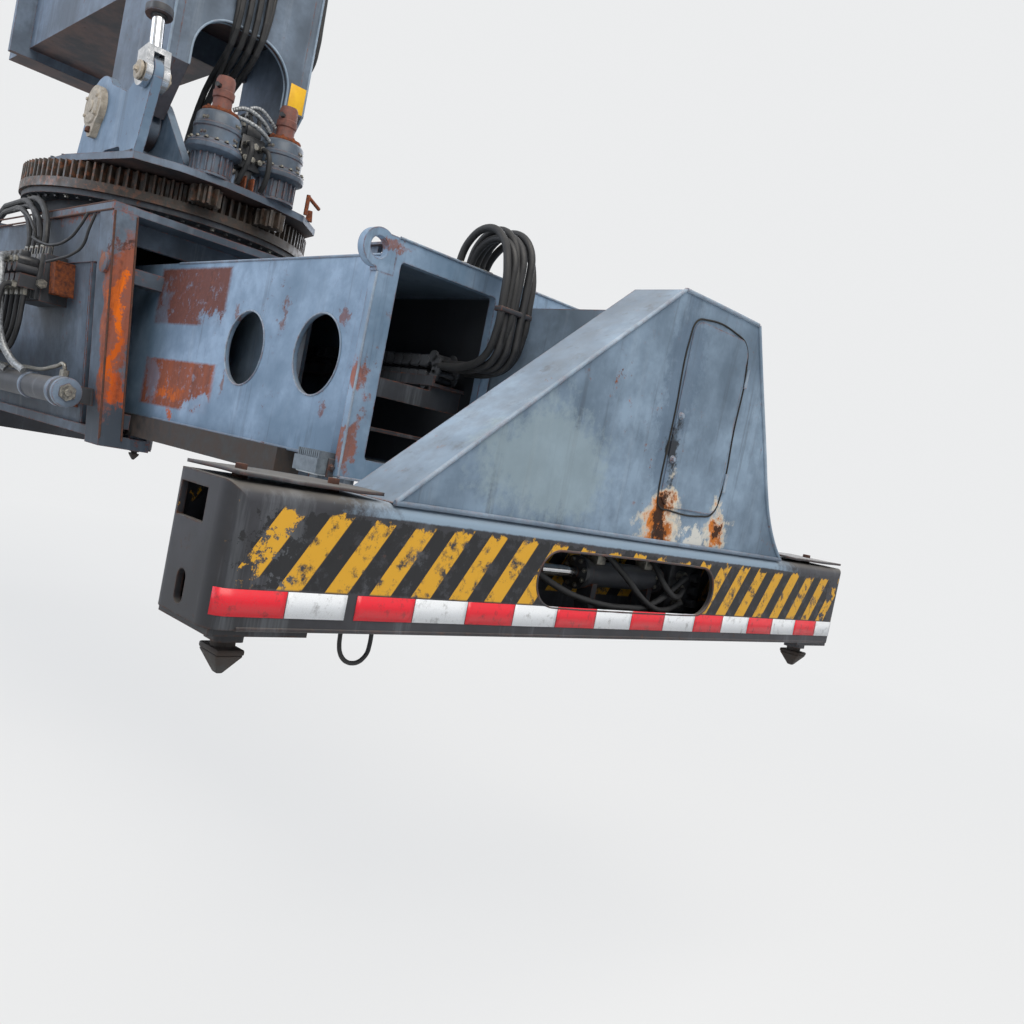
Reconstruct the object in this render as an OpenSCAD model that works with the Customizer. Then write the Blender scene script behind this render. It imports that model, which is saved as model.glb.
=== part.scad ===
// Telescopic container spreader with its rotator head and the boom head it hangs from.
// Millimetres. X runs along the spreader, Y across it, Z up. The origin is the centre of the
// boom head's end face. Inside the modules, x = 0 is the middle of the spreader's main frame and
// z = 0 is the underside of the end beams; placed() moves that frame to the origin.

/* [Container grip] */
// Distance between the twistlocks along the spreader, at the short setting
corner_len = 5853; // [5600:1:6000]
// Distance between the twistlocks across the spreader
corner_wid = 2259; // [2200:1:2300]
// Width of a twistlock head
lock_w = 58; // [50:1:60]
// Length of a twistlock head
lock_l = 76; // [72:1:108]
// Height of the pointed part of a twistlock head
lock_tip = 42; // [36:1:70]
// Radius of a twistlock shaft
lock_shaft_r = 24; // [20:1:25]
// Depth of the guide block below an end beam
lock_guide = 38; // [32:1:46]

/* [End beams] */
// Distance from an end beam's inner face to the twistlocks' axes
lock_back = 137; // [125:1:140]
// Width of an end beam, along X
beam_w = 225; // [200:1:260]
// Height of an end beam
beam_h = 270; // [240:1:300]
// Length of an end beam, across the spreader
beam_len = 2438; // [2420:1:2480]
// Wall of an end beam
beam_wall = 14; // [8:1:20]
// Radius of the beam's upper long edges
beam_edge_r = 30; // [10:1:45]
// Radius of the beam's upright corners
beam_corner_r = 40; // [10:1:60]
// Length of the oval opening in the beam's face
oval_len = 770; // [500:1:900]
// Height of the oval opening
oval_h = 142; // [100:1:170]
// Thickness of the wear pads below the beam's corners
foot_pad = 14; // [8:1:20]

/* [Towers] */
// Depth of a tower, along X
tower_d = 175; // [140:1:190]
// Height of a tower above the underside of the beam
tower_top = 944; // [920:1:1000]
// Foot of the tower's long slope, from the middle of the beam
tower_foot_l = 850; // [800:1:900]
// Place of the tower's short slope on its foot, from the middle of the beam
tower_foot_r = 752; // [720:1:800]
// Plate of a tower
tower_wall = 10; // [6:1:14]

/* [Extension beams] */
// Width of an extension beam
ext_w = 300; // [260:1:310]
// Height of an extension beam
ext_h = 540; // [480:1:550]
// Wall of an extension beam
ext_wall = 14; // [8:1:20]
// Reach of an extension beam past the middle of the main frame
ext_tail = 1700; // [1300:1:1900]

/* [Main frame] */
// Half the length of the main frame
frame_half = 2264; // [2220:1:2360]
// Inner height of the main frame
frame_in_h = 590; // [580:1:620]
// Inner half width of the main frame
frame_in_w = 420; // [410:1:440]
// Wall of the main frame
frame_wall = 15; // [10:1:20]
// Thickness of the end plates
end_plate = 30; // [20:1:40]
// Radius of the round holes in the side walls
hole_r = 130; // [90:1:150]
// Radius of a lifting eye
eye_r = 32; // [20:1:38]
// Half the length of the lower slide rails
rail_half = 1884; // [1880:1:2060]

/* [Sleeve] */
// Half the length of the sleeve
sleeve_half = 1111; // [1000:1:1111]
// Thickness of the sleeve's top plate
top_plate = 30; // [20:1:40]
// Width of an end post, across the spreader
post_w = 95; // [70:1:110]
// Length of an end post, along the spreader
post_l = 140; // [80:1:180]
// Distance the slew axis stands behind the middle of the main frame
slew_back = 347; // [300:1:380]
// Radius of the side-shift cylinder
shift_r = 50; // [40:1:56]
// Radius of the side-shift rod
shift_rod_r = 28; // [20:1:32]

/* [Slewing ring] */
// Module of the ring's teeth
tooth_m = 12; // [11:0.5:12]
// Number of teeth on the ring
ring_teeth = 113; // [109:1:114]
// Number of teeth on a pinion
pinion_teeth = 10; // [10:1:12]
// Height of the toothed ring
gear_h = 82; // [60:1:84]
// Radius of the ring's lower rim
rim_r = 690; // [670:1:695]
// Radius of the drum that carries the ring
drum_r = 575; // [540:1:590]

/* [Rotator head] */
// Thickness of the rotator's upper plate
head_plate = 32; // [20:1:36]
// Thickness of a hanging lug
lug_t = 40; // [36:1:44]
// Distance of the outer lug's middle plane from the centre line
lug_y = 475; // [470:1:477]
// Distance of the inner lugs' middle planes from the centre line
lug_in_y = 220; // [205:1:222]
// Radius of a slew motor's flange
motor_r = 123; // [112:1:125]
// Radius of a hanging pin
hang_pin_r = 50; // [40:1:60]
// Radius of a damper's pins
damp_pin_r = 34; // [25:1:38]

/* [Boom head] */
// Half the width of the boom head
head_hw = 355; // [350:1:360]
// Thickness of the boom head's plates
head_t = 40; // [25:1:45]
// Height of the boom tube
tube_h = 810; // [760:1:860]
// Length of the boom tube behind the head
tube_len = 1860; // [1500:10:2400]
// Wall of the boom tube
tube_wall = 22; // [14:1:30]
// Half the width of the arch
arch_r = 250; // [230:1:260]
// Radius of a damper barrel
damp_r = 56; // [46:1:60]
// Radius of a damper rod
damp_rod_r = 27; // [18:1:32]

/* [Hidden] */
$fn = 48;

// Running gaps: between sliding pads, round a turning pin, and round an open pivot
pad_gap = 0.5;
pin_gap = 0.4;
open_gap = 5;
eye_gap = 7;

// End beam, with x counted from the middle of the main frame
lock_x = corner_len / 2;
lock_y = corner_wid / 2;
beam_x0 = lock_x - lock_back;
beam_x1 = beam_x0 + beam_w;
oval_y = -4;
oval_z = beam_h / 2 + 10;
tower_x1 = beam_x1 - 10;
tower_x0 = tower_x1 - tower_d;

// Tower outline across the beam: straight long slope, and a short slope that flares at its foot
apex_l = -26;
apex_r = 349;
flare_r = 550;
flare_top = 63.7;
flare_foot = 36.3;
flare_y = tower_foot_r + flare_r * sin(flare_foot);
flare_z = beam_h + flare_r * cos(flare_foot);

// Extension beam and main frame heights
frame_z0 = 330;
frame_z1 = frame_z0 + frame_in_h;
ext_y0 = 30;
ext_z0 = frame_z0 + 30;
ext_z1 = ext_z0 + ext_h;
frame_out_w = frame_in_w + frame_wall;
web_t = 30;
eye_y = frame_in_w + 72;
plate_hw = eye_y - 4;
plate_z0 = frame_z0 - 60;
plate_z1 = frame_z1 + 65;

eye_z = frame_z1 + 16;
eye_ear_r = 56;
eye_cut_y = eye_y - 62;
eye_cut_z = eye_z - 66;
hole_xs = [frame_half - 775, frame_half - 315];

// Rails and sleeve
rail_z1 = frame_z0 - frame_wall;
rail_z0 = rail_z1 - 85;
rail_y0 = 378;
rail_y1 = 470;
sleeve_x1 = sleeve_half - slew_back;
sleeve_x0 = -sleeve_half - slew_back;
sleeve_z1 = 1105;
sleeve_z0 = rail_z0 - 70;
post_in_top = 590;
post_in_foot = 492;
window_half = 330;
window_z0 = 975;

// Side-shift cylinder
shift_y = 720;
shift_z = 350;
shift_barrel_x1 = sleeve_x1 - 50;
shift_barrel_x0 = sleeve_x0 + 72;
shift_eye_x = -rail_half - 45;
shift_rod_len = 2000;

// Slewing ring and pinions
slew_x = -slew_back;
rim_z0 = 1247;
rim_h = 42;
gear_z0 = rim_z0 + rim_h;
gear_z1 = gear_z0 + gear_h;
pitch_r = ring_teeth * tooth_m / 2;
pinion_pitch_r = pinion_teeth * tooth_m / 2;
pinion_off = pitch_r + pinion_pitch_r;
pinion_shaft_r = 30;
pinion_ang = 4 * 360 / ring_teeth;
ring_bore = pitch_r - 116;
rim_flange = 27;
plate_lo = gear_z1 + 9;
plate_hi = plate_lo + head_plate;
swivel_r = 168;

// Hanging pin and damper pins, in the x-z plane of the lugs
hang_x = slew_x + 191;
hang_z = 1660;
damp_lo = [hang_x + 505, 1742];
damp_hi = [hang_x + 345, 2700];
damp_len = norm(damp_hi - damp_lo);
damp_tilt = atan2(damp_hi[0] - damp_lo[0], damp_hi[1] - damp_lo[1]);

// Boom tube and mount
tube_z0 = 2330;
tube_z1 = tube_z0 + tube_h;
face_x1 = hang_x + 310;
head_x0 = hang_x - 320;
tube_x0 = head_x0 - tube_len;
arch_top = 2195;
arch_corner = 190;
leg_z0 = 1925;
cross_z0 = 2180;
mount_x = tube_x0;
mount_z = (tube_z0 + tube_z1) / 2;

blue = "#7F94AB";
slate = "#59636F";
black = "#26272A";
charcoal = "#3C3D42";
brown = "#5A3430";
chrome = "#C9CCD0";

// Moves the spreader's frame so that the boom head's end face is the origin
module placed() {
  translate([-mount_x, 0, -mount_z]) children();
}

// The far half is the near half turned half round
module far_end() {
  rotate([0, 0, 180]) children();
}

// Extrudes a (y, z) outline towards +X from x0
module along_x(x0, len) {
  translate([x0, 0, 0]) rotate([90, 0, 90]) linear_extrude(len) children();
}

// Extrudes an (x, z) outline towards +Y from y0
module along_y(y0, len) {
  translate([0, y0 + len, 0]) rotate([90, 0, 0]) linear_extrude(len) children();
}

// Box from one corner to the other
module block(a, b) {
  translate(a) cube(b - a);
}

// Round bar between two heights
module post_round(x, y, z0, z1, r) {
  translate([x, y, z0]) cylinder(h = z1 - z0, r = r);
}

// Round bar along X
module bar_x(x0, x1, y, z, r) {
  translate([x0, y, z]) rotate([0, 90, 0]) cylinder(h = x1 - x0, r = r);
}

// Round bar along Y
module bar_y(x, y0, y1, z, r) {
  translate([x, y0, z]) rotate([-90, 0, 0]) cylinder(h = y1 - y0, r = r);
}

// Rectangle with round corners, from one corner to the other
module round_rect(a, b, r) {
  w = b[0] - a[0];
  h = b[1] - a[1];
  translate([(a[0] + b[0]) / 2, (a[1] + b[1]) / 2]) {
    square([w, h - 2 * r], center = true);
    square([w - 2 * r, h], center = true);
    for (sx = [-1, 1], sy = [-1, 1])
      translate([sx * (w / 2 - r), sy * (h / 2 - r)]) circle(r);
  }
}

// Slot outline with half-round ends, lying along its first axis
module stadium(c, len, h) {
  round_rect([c[0] - len / 2, c[1] - h / 2], [c[0] + len / 2, c[1] + h / 2], h / 2 - 0.01);
}

// END BEAM AND TOWER

// Outline of a tower in (y, z), moved in by t
function tower_outline(t) =
  let (run = apex_l + tower_foot_l, rise = tower_top - beam_h,
       side = t * norm([run, rise]) / rise,
       top = tower_top - t,
       left = function (z) -tower_foot_l + (z - beam_h) * run / rise + side)
  concat(
    [[left(beam_h), beam_h], [left(top), top], [apex_r - t, top]],
    [for (a = [flare_top : (flare_foot - flare_top) / 8 : flare_foot])
      [flare_y - (flare_r + t) * sin(a), max(beam_h, flare_z - (flare_r + t) * cos(a))]]);

// Hollow box of a tower, with the doorway that the extension beam goes through
module tower() {
  difference() {
    along_x(tower_x0, tower_d) polygon(tower_outline(0));
    along_x(tower_x0 + tower_wall, tower_d - 2 * tower_wall) intersection() {
      polygon(tower_outline(tower_wall));
      translate([-beam_len / 2, beam_h + tower_wall]) square([beam_len, tower_top]);
    }
    block([tower_x0 - 1, ext_y0, ext_z0], [tower_x0 + tower_wall + 1, ext_y0 + ext_w, ext_z1]);
  }
}

// Shell of an end beam, with its oval opening, end windows and twistlock bores
module end_beam() {
  x_in0 = beam_x0 + beam_wall;
  x_in1 = beam_x1 - beam_wall;
  y_in = beam_len / 2 - beam_wall;
  end_y = -beam_len / 2;
  difference() {
    union() {
      intersection() {
        along_y(end_y, beam_len) beam_section();
        translate([0, 0, -1]) linear_extrude(beam_h + 2)
          round_rect([beam_x0, end_y], [beam_x1, -end_y], beam_corner_r);
      }
      for (s = [-1, 1]) {
        foot_y = s * (beam_len / 2 - 117);
        block([beam_x0 + 12, foot_y - 105, -foot_pad], [beam_x1 - 12, foot_y + 105, 0]);
        translate([lock_x, s * lock_y, -lock_guide]) linear_extrude(lock_guide + beam_wall)
          round_rect([-lock_w / 2, -31], [lock_w / 2, 31], 12);
      }
    }
    block([x_in0, -y_in, beam_wall], [x_in1, y_in, beam_h - beam_wall]);
    along_x(x_in1 - 1, beam_wall + 2) stadium([oval_y, oval_z], oval_len, oval_h);
    for (s = [-1, 1]) {
      block([beam_x0 + 38, s * (beam_len / 2 - 8) - 22, 180],
        [beam_x0 + 145, s * (beam_len / 2 - 8) + 22, 245]);
      along_y(s * (beam_len / 2 - 8) - 22, 44)
        round_rect([beam_x0 + 86, 20], [beam_x0 + 120, 86], 16);
      post_round(lock_x, s * lock_y, -lock_guide - 1, beam_wall + 1, lock_shaft_r + pin_gap);
    }
  }
}

// Section of an end beam in (x, z), with round upper edges
module beam_section() {
  intersection() {
    round_rect([beam_x0, -beam_h], [beam_x1, beam_h], beam_edge_r);
    translate([beam_x0, 0]) square([beam_w, beam_h]);
  }
}

// Loose cover plates on top of an end beam, each on two low bolts
module beam_covers() {
  for (y = [[-beam_len / 2 + 15, -tower_foot_l - 25], [tower_foot_r + 40, beam_len / 2 - 15]]) {
    block([beam_x0 + 12, y[0], beam_h + 9], [beam_x1 - 14, y[1], beam_h + 16]);
    for (k = [0.18, 0.82])
      post_round((beam_x0 + beam_x1) / 2, y[0] + k * (y[1] - y[0]), beam_h, beam_h + 22, 15);
  }
}

// Twistlock: shaft through the beam's bottom plate, nut inside, pointed head below
module twistlock(s) {
  neck_z = -lock_guide - 12;
  head_z = neck_z - 12;
  translate([lock_x, s * lock_y, 0]) {
    translate([0, 0, neck_z]) cylinder(h = 150 - neck_z, r = lock_shaft_r);
    translate([0, 0, beam_wall + pad_gap]) cylinder(h = 44, r = 46);
    translate([0, 0, head_z]) linear_extrude(neck_z - head_z + 0.5)
      square([lock_l, lock_w], center = true);
    lock_point(head_z);
  }
}

// Pointed part of a twistlock head, with its apex lock_tip below z
module lock_point(z) {
  base = [for (s = [[-1, -1], [1, -1], [1, 1], [-1, 1]])
    [s[0] * lock_l / 2, s[1] * lock_w / 2, z]];
  tip = [for (s = [[-1, -1], [1, -1], [1, 1], [-1, 1]]) [s[0] * 9, s[1] * 7, z - lock_tip]];
  polyhedron(concat(base, tip),
    [[3, 2, 1, 0], [4, 5, 6, 7], [5, 4, 0, 1], [6, 5, 1, 2], [7, 6, 2, 3], [4, 7, 3, 0]]);
}

// Fixed barrel of the twistlock cylinder, on its two brackets inside the end beam
lock_cyl_x = beam_x0 + 85;
lock_cyl_z = oval_z + 4;
lock_cyl_r = 36;
module lock_barrel() {
  difference() {
    union() {
      bar_y(lock_cyl_x, -70, 250, lock_cyl_z, lock_cyl_r);
      bar_y(lock_cyl_x, -92, -62, lock_cyl_z, lock_cyl_r + 7);
      bar_y(lock_cyl_x, 240, 268, lock_cyl_z, lock_cyl_r + 5);
      for (y = [-40, 215])
        block([lock_cyl_x - 26, y, beam_wall], [lock_cyl_x + 26, y + 22, lock_cyl_z]);
      for (y = [-30, 190]) translate([lock_cyl_x + 8, y, lock_cyl_z + 20])
        cylinder(h = 42, r = 12);
    }
    bar_y(lock_cyl_x, -100, 180, lock_cyl_z, 16 + pin_gap);
  }
}

// Sliding rod of the twistlock cylinder, with its clevis and tie bar
module lock_rod() {
  bar_y(lock_cyl_x, -260, 0, lock_cyl_z, 16);
  difference() {
    block([lock_cyl_x - 26, -330, lock_cyl_z - 26], [lock_cyl_x + 26, -250, lock_cyl_z + 26]);
    block([lock_cyl_x - 10, -340, lock_cyl_z - 30], [lock_cyl_x + 10, -275, lock_cyl_z + 30]);
  }
  block([lock_cyl_x - 9, -700, lock_cyl_z - 20], [lock_cyl_x + 9, -285, lock_cyl_z + 20]);
  bar_y(lock_cyl_x, -330, -330 + 1, lock_cyl_z, 5);
  translate([lock_cyl_x - 32, -305, lock_cyl_z]) rotate([0, 90, 0]) cylinder(h = 64, r = 12);
}

// Cable that hangs in a short loop below the near beam
cable_r = 5;
cable_x = beam_x1 - 65;
cable_pts = [[cable_x, -880, 0], [cable_x, -880, -12], [cable_x + 1, -880, -26],
  [cable_x + 2, -879, -41], [cable_x + 4, -875, -57], [cable_x + 5, -865, -70],
  [cable_x + 6, -853, -77], [cable_x + 6, -840, -79], [cable_x + 6, -827, -77],
  [cable_x + 5, -815, -70], [cable_x + 4, -805, -57], [cable_x + 2, -801, -41],
  [cable_x + 1, -800, -26], [cable_x, -800, -12], [cable_x, -800, 0]];

function unit(v) = v / norm(v);

// Closed tube of n sides along points, one ring a point
module tube(pts, r, n) {
  last = len(pts) - 1;
  dir = [for (i = [0 : last]) unit(pts[min(i + 1, last)] - pts[max(i - 1, 0)])];
  ref = abs(dir[0] * [1, 0, 0]) < 0.9 ? [1, 0, 0] : [0, 1, 0];
  rings = [for (i = [0 : last]) let (u = unit(cross(dir[i], ref)), v = cross(dir[i], u))
    for (k = [0 : n - 1]) pts[i] + r * (cos(360 * k / n) * u + sin(360 * k / n) * v)];
  sides = [for (i = [0 : last - 1]) for (k = [0 : n - 1])
    for (t = [0, 1]) let (a = i * n + k, b = i * n + (k + 1) % n)
      t == 0 ? [a, a + n, b] : [b, a + n, b + n]];
  polyhedron(rings, concat(sides, [[for (k = [0 : n - 1]) k]],
    [[for (k = [n - 1 : -1 : 0]) last * n + k]]));
}

// EXTENSION BEAM

// Hollow extension beam, open at its tail, with slide pads round its tail
module ext_beam() {
  x0 = -ext_tail;
  x1 = tower_x1 - tower_wall;
  y1 = ext_y0 + ext_w;
  pad_x = x0 + 60;
  difference() {
    block([x0, ext_y0, ext_z0], [x1, y1, ext_z1]);
    block([x0 - 1, ext_y0 + ext_wall, ext_z0 + ext_wall], [x1 + 1, y1 - ext_wall, ext_z1 - ext_wall]);
  }
  for (z = [[frame_z0 + pad_gap, ext_z0], [ext_z1, frame_z1 - pad_gap]])
    block([pad_x, ext_y0 + 30, z[0]], [pad_x + 320, y1 - 30, z[1]]);
  block([pad_x, web_t / 2 + pad_gap, ext_z0 + 60], [pad_x + 320, ext_y0, ext_z1 - 60]);
}

// MAIN FRAME

// Top and bottom of the two tubes that lie side by side
module frame_plates() {
  x1 = frame_half - end_plate;
  for (z = [frame_z0 - frame_wall, frame_z1])
    block([-x1, -frame_in_w, z], [x1, frame_in_w, z + frame_wall]);
}

// Web between the two tubes
module frame_web() {
  x1 = frame_half - end_plate;
  block([-x1, -web_t / 2, frame_z0], [x1, web_t / 2, frame_z1]);
}

// Outer walls of the tubes, with their round holes
module frame_walls() {
  x1 = frame_half - end_plate;
  for (w = [-1, 1]) difference() {
    block([-x1, w > 0 ? frame_in_w : -frame_out_w, frame_z0 - frame_wall],
      [x1, w > 0 ? frame_out_w : -frame_in_w, frame_z1 + frame_wall]);
    for (s = [-1, 1], x = hole_xs)
      bar_y(s * x, w * (frame_in_w + frame_wall / 2) - frame_wall,
        w * (frame_in_w + frame_wall / 2) + frame_wall, (frame_z0 + frame_z1) / 2, hole_r);
  }
}

// One end plate in (y, z): a frame round both tubes, with its upper corners cut out
module end_plate_outline() {
  difference() {
    union() {
      translate([-plate_hw, plate_z0]) square([2 * plate_hw, eye_cut_z - plate_z0]);
      translate([-eye_cut_y, eye_cut_z - 1]) square([2 * eye_cut_y, plate_z1 - 2 - eye_cut_z + 1]);
    }
    for (s = [-1, 1])
      round_rect([s > 0 ? web_t / 2 + 4 : -frame_in_w + 12, frame_z0 + 2],
        [s > 0 ? frame_in_w - 12 : -web_t / 2 - 4, frame_z1 - 2], 12);
  }
}

module end_plates() {
  for (x0 = [frame_half - end_plate, -frame_half]) along_x(x0, end_plate) end_plate_outline();
}

// Lifting eyes in the cut corners of the end plates
module lifting_eyes() {
  for (x0 = [frame_half - end_plate, -frame_half], s = [-1, 1]) along_x(x0, end_plate)
    difference() {
      union() {
        translate([s > 0 ? eye_cut_y : -eye_y, eye_cut_z])
          square([eye_y - eye_cut_y, plate_z1 - 2 - eye_cut_z]);
        translate([s * eye_y, eye_z]) circle(eye_ear_r);
      }
      translate([s * eye_y, eye_z]) circle(eye_r);
    }
}

// Two lower rails that the sleeve rides on
module slide_rails() {
  for (s = [-1, 1])
    block([-rail_half, s > 0 ? rail_y0 : -rail_y1, rail_z0],
      [rail_half, s > 0 ? rail_y1 : -rail_y0, rail_z1]);
}

// Slide pads at each mouth of the main frame, round the extension beam
module frame_pads() {
  for (half = [0, 180]) rotate([0, 0, half]) {
    x0 = frame_half - 330;
    x1 = frame_half - end_plate - 12;
    y1 = ext_y0 + ext_w;
    block([x0, ext_y0 + 30, frame_z0], [x1, y1 - 30, ext_z0 - pad_gap]);
    block([x0, ext_y0 + 30, ext_z1 + pad_gap], [x1, y1 - 30, frame_z1]);
    block([x0, y1 + pad_gap, ext_z0 + 60], [x1, frame_in_w, ext_z0 + 200]);
    block([x0, y1 + pad_gap, ext_z1 - 200], [x1, frame_in_w, ext_z1 - 60]);
  }
}

// Tray on the web that carries the energy chain, and the cross bar below it
tray_z = 600;
tray_x0 = 300;
tray_x1 = frame_half - 70;
tray_y1 = -ext_y0 - ext_wall - 8;
tray_y0 = tray_y1 - 92;
module chain_tray() {
  for (half = [0, 180]) rotate([0, 0, half]) {
    block([tray_x0, tray_y0, tray_z], [tray_x1, tray_y1, tray_z + 10]);
    block([tray_x0, tray_y0 - 8, tray_z], [tray_x1, tray_y0, tray_z + 34]);
    block([ext_tail + 30, tray_y1, tray_z], [tray_x1, -web_t / 2, tray_z + 10]);
    block([tray_x1 - 26, -frame_in_w, tray_z - 72], [tray_x1 - 14, -web_t / 2, tray_z - 14]);
    block([tray_x1 - 26, tray_y0, tray_z - 14], [tray_x1 - 14, -web_t / 2, tray_z]);
    block([tray_x1 - 90, -frame_in_w, frame_z0 + 92], [tray_x1 - 14, -web_t / 2, frame_z0 + 104]);
  }
}

// Energy chain, folded once: a lower and an upper run of links and the bend that joins them
link_pitch = 46;
link_h = 44;
link_y0 = tray_y0 + 2;
link_y1 = tray_y1 - 2;
chain_x1 = tray_x1 - 60;
chain_links = 36;
module energy_chain() {
  for (half = [0, 180]) rotate([0, 0, half]) {
    z_lo = tray_z + 10;
    z_hi = z_lo + link_h + 6;
    for (i = [0 : chain_links - 1], z = [z_lo, z_hi]) {
      x = chain_x1 - i * link_pitch;
      block([x - link_pitch + 7, link_y0, z], [x, link_y1, z + link_h]);
    }
    for (z = [z_lo, z_hi])
      block([chain_x1 - chain_links * link_pitch + 8, link_y0 + 8, z + 8],
        [chain_x1, link_y1 - 8, z + link_h - 8]);
    translate([chain_x1, 0, (z_lo + z_hi + link_h) / 2]) intersection() {
      rotate([-90, 0, 0]) translate([0, 0, link_y0]) difference() {
        cylinder(h = link_y1 - link_y0, r = link_h + 3);
        translate([0, 0, -1]) cylinder(h = link_y1 - link_y0 + 2, r = 6);
      }
      block([0, link_y0, -100], [100, link_y1, 100]);
    }
  }
}

// Hoses that arch over the end plate and go down to the energy chain, held at both ends
hose_ys = [-112, -84, -56];
hose_r = 12;
module frame_hoses() {
  for (half = [0, 180]) rotate([0, 0, half])
    for (i = [0 : len(hose_ys) - 1]) {
      bend = 102 + 6 * i;
      cx = frame_half + 56;
      top_z = frame_z1 + frame_wall + 42 + 10 * i;
      y = hose_ys[i];
      low_z = tray_z + 150;
      bar = frame_z1 + frame_wall;
      translate([cx, y, top_z]) rotate([90, 0, 0]) rotate_extrude(angle = 180)
        translate([bend, 0]) circle(hose_r);
      post_round(cx - bend, y, bar, top_z, hose_r);
      post_round(cx + bend, y, low_z, top_z, hose_r);
      translate([cx + bend - 70, y, low_z]) rotate([90, 0, 0]) rotate_extrude(angle = -90)
        translate([70, 0]) circle(hose_r);
      bar_x(chain_x1 + 54, cx + bend - 70, y, low_z - 70, hose_r);
    }
}

// Thin cover beside the hoses, on two low feet
module hose_cover() {
  for (half = [0, 180]) rotate([0, 0, half]) {
    z0 = frame_z1 + frame_wall;
    block([frame_half - 260, -375, z0 + 52], [frame_half - end_plate - 2, -150, z0 + 60]);
    for (y = [-360, -180]) block([frame_half - 240, y, z0], [frame_half - 200, y + 14, z0 + 52]);
  }
}

// Work lamps with cooling fins, below the frame's corners
module work_lamps() {
  for (half = [0, 180]) rotate([0, 0, half]) {
    cx = frame_half - 95;
    cy = -frame_out_w - 62;
    z0 = frame_z0 - 62;
    block([cx - 62, cy - 46, z0], [cx + 62, cy + 46, z0 + 44]);
    for (i = [-5 : 5])
      block([cx + 10.6 * i - 3, cy - 40, z0 + 44], [cx + 10.6 * i + 3, cy + 40, z0 + 66]);
    block([cx - 18, cy - 10, z0 - 30], [cx + 18, cy + 10, z0]);
    block([cx - 18, cy - 10, z0 - 42], [cx + 18, -frame_out_w + 62, z0 - 30]);
    block([cx - 18, -frame_out_w + 50, z0 - 42], [cx + 18, -frame_out_w + 62, frame_z0 - frame_wall]);
  }
}

// SIDE-SHIFT CYLINDER

module shift_barrel() {
  difference() {
    union() {
      bar_x(shift_barrel_x0, shift_barrel_x1 - 40, -shift_y, shift_z, shift_r);
      bar_x(shift_barrel_x0 - 26, shift_barrel_x0 + 20, -shift_y, shift_z, shift_r + 8);
      bar_x(shift_barrel_x1 - 60, shift_barrel_x1, -shift_y, shift_z, shift_r + 6);
      for (x = [shift_barrel_x1 - 70, shift_barrel_x0 + 26]) along_x(x, 40) polygon([
        [-shift_y, shift_z - 34], [-shift_y, shift_z + 34], [post_face(shift_z + 34), shift_z + 34],
        [post_face(shift_z - 34), shift_z - 34]]);
    }
    bar_x(shift_barrel_x0 - 27, shift_barrel_x1 - 80, -shift_y, shift_z, shift_rod_r + pin_gap);
  }
}

module shift_rod() {
  bar_x(shift_eye_x, shift_eye_x + shift_rod_len, -shift_y, shift_z, shift_rod_r);
  difference() {
    block([shift_eye_x - 24, -shift_y - 45, shift_z - 45],
      [shift_eye_x + 6, -frame_out_w, shift_z + 45]);
    translate([shift_eye_x - 25, -shift_y + 90, shift_z]) rotate([0, 90, 0]) cylinder(h = 40, r = 22);
  }
  bar_x(shift_eye_x - 44, shift_eye_x - 24, -shift_y, shift_z, 40);
}

// SLEEVE

// Leaning inner face of the sleeve's right side at height z
function in_face(z) = post_in_foot
  + (post_in_top - post_in_foot) * (z - sleeve_z0) / (sleeve_z1 - sleeve_z0);

// Outer face of the left posts at height z
function post_face(z) = -in_face(z) - post_w;

// Outer face of the left side plate, between the posts, at height z
function side_face(z) = post_face(z) + 20;

// Leaning band in (y, z) of the sleeve's right side, from its inner face plus a to plus b
module lean_band(a, b, z0, z1) {
  polygon([[in_face(z0) + a, z0], [in_face(z0) + b, z0], [in_face(z1) + b, z1],
    [in_face(z1) + a, z1]]);
}

// One side of the sleeve: leaning side plate, end posts and the hook below the rail
module sleeve_side() {
  z1 = sleeve_z1 - top_plate;
  hook_z1 = rail_z0 - pad_gap - 14;
  difference() {
    along_x(sleeve_x0 + post_l, 2 * sleeve_half - 2 * post_l)
      lean_band(post_w - 40, post_w - 20, hook_z1, z1);
    along_y(post_in_foot, 300)
      round_rect([slew_x - window_half, window_z0], [slew_x + window_half, z1 + 60], 50);
  }
  for (x = [sleeve_x0, sleeve_x1 - post_l]) along_x(x, post_l) {
    lean_band(0, post_w, hook_z1 - 46, z1);
    translate([rail_y0 + 6, hook_z1 - 46]) square([post_in_foot + 20 - rail_y0, 46]);
  }
  for (x = [sleeve_x0 + 20, sleeve_x1 - post_l + 20])
    block([x, rail_y0 + 12, hook_z1], [x + post_l - 40, rail_y1 - 8, rail_z0 - pad_gap]);
  for (x = [sleeve_x0 + 20, sleeve_x1 - post_l + 20])
    for (p = [[rail_z0 + 18, rail_y1], [frame_z1 - 100, frame_out_w]]) {
      z = p[0];
      y = p[1] + pad_gap;
      along_x(x, post_l - 40)
        polygon([[y, z], [in_face(z), z], [in_face(z + 60), z + 60], [y, z + 60]]);
    }
}

// Top of the sleeve: waisted plate with its cross webs
module sleeve_top() {
  hw = post_in_top + post_w;
  z0 = sleeve_z1 - top_plate;
  waist = drum_r + 8;
  notch = window_half + hw - waist;
  half = [[sleeve_half, hw], [notch, hw], [window_half, waist]];
  rim = concat(half, [for (i = [2 : -1 : 0]) [-half[i][0], half[i][1]]]);
  difference() {
    translate([slew_x, 0, z0]) linear_extrude(top_plate)
      polygon(concat(rim, [for (i = [5 : -1 : 0]) [rim[i][0], -rim[i][1]]]));
    translate([slew_x, 0, z0 - 1]) cylinder(h = top_plate + 2, r = drum_r - drum_wall, $fn = 96);
  }
  for (x = [sleeve_x0 + 150, sleeve_x1 - 178])
    block([x, -post_in_top + 30, z0 - 88], [x + 28, post_in_top - 30, z0]);
}

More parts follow.
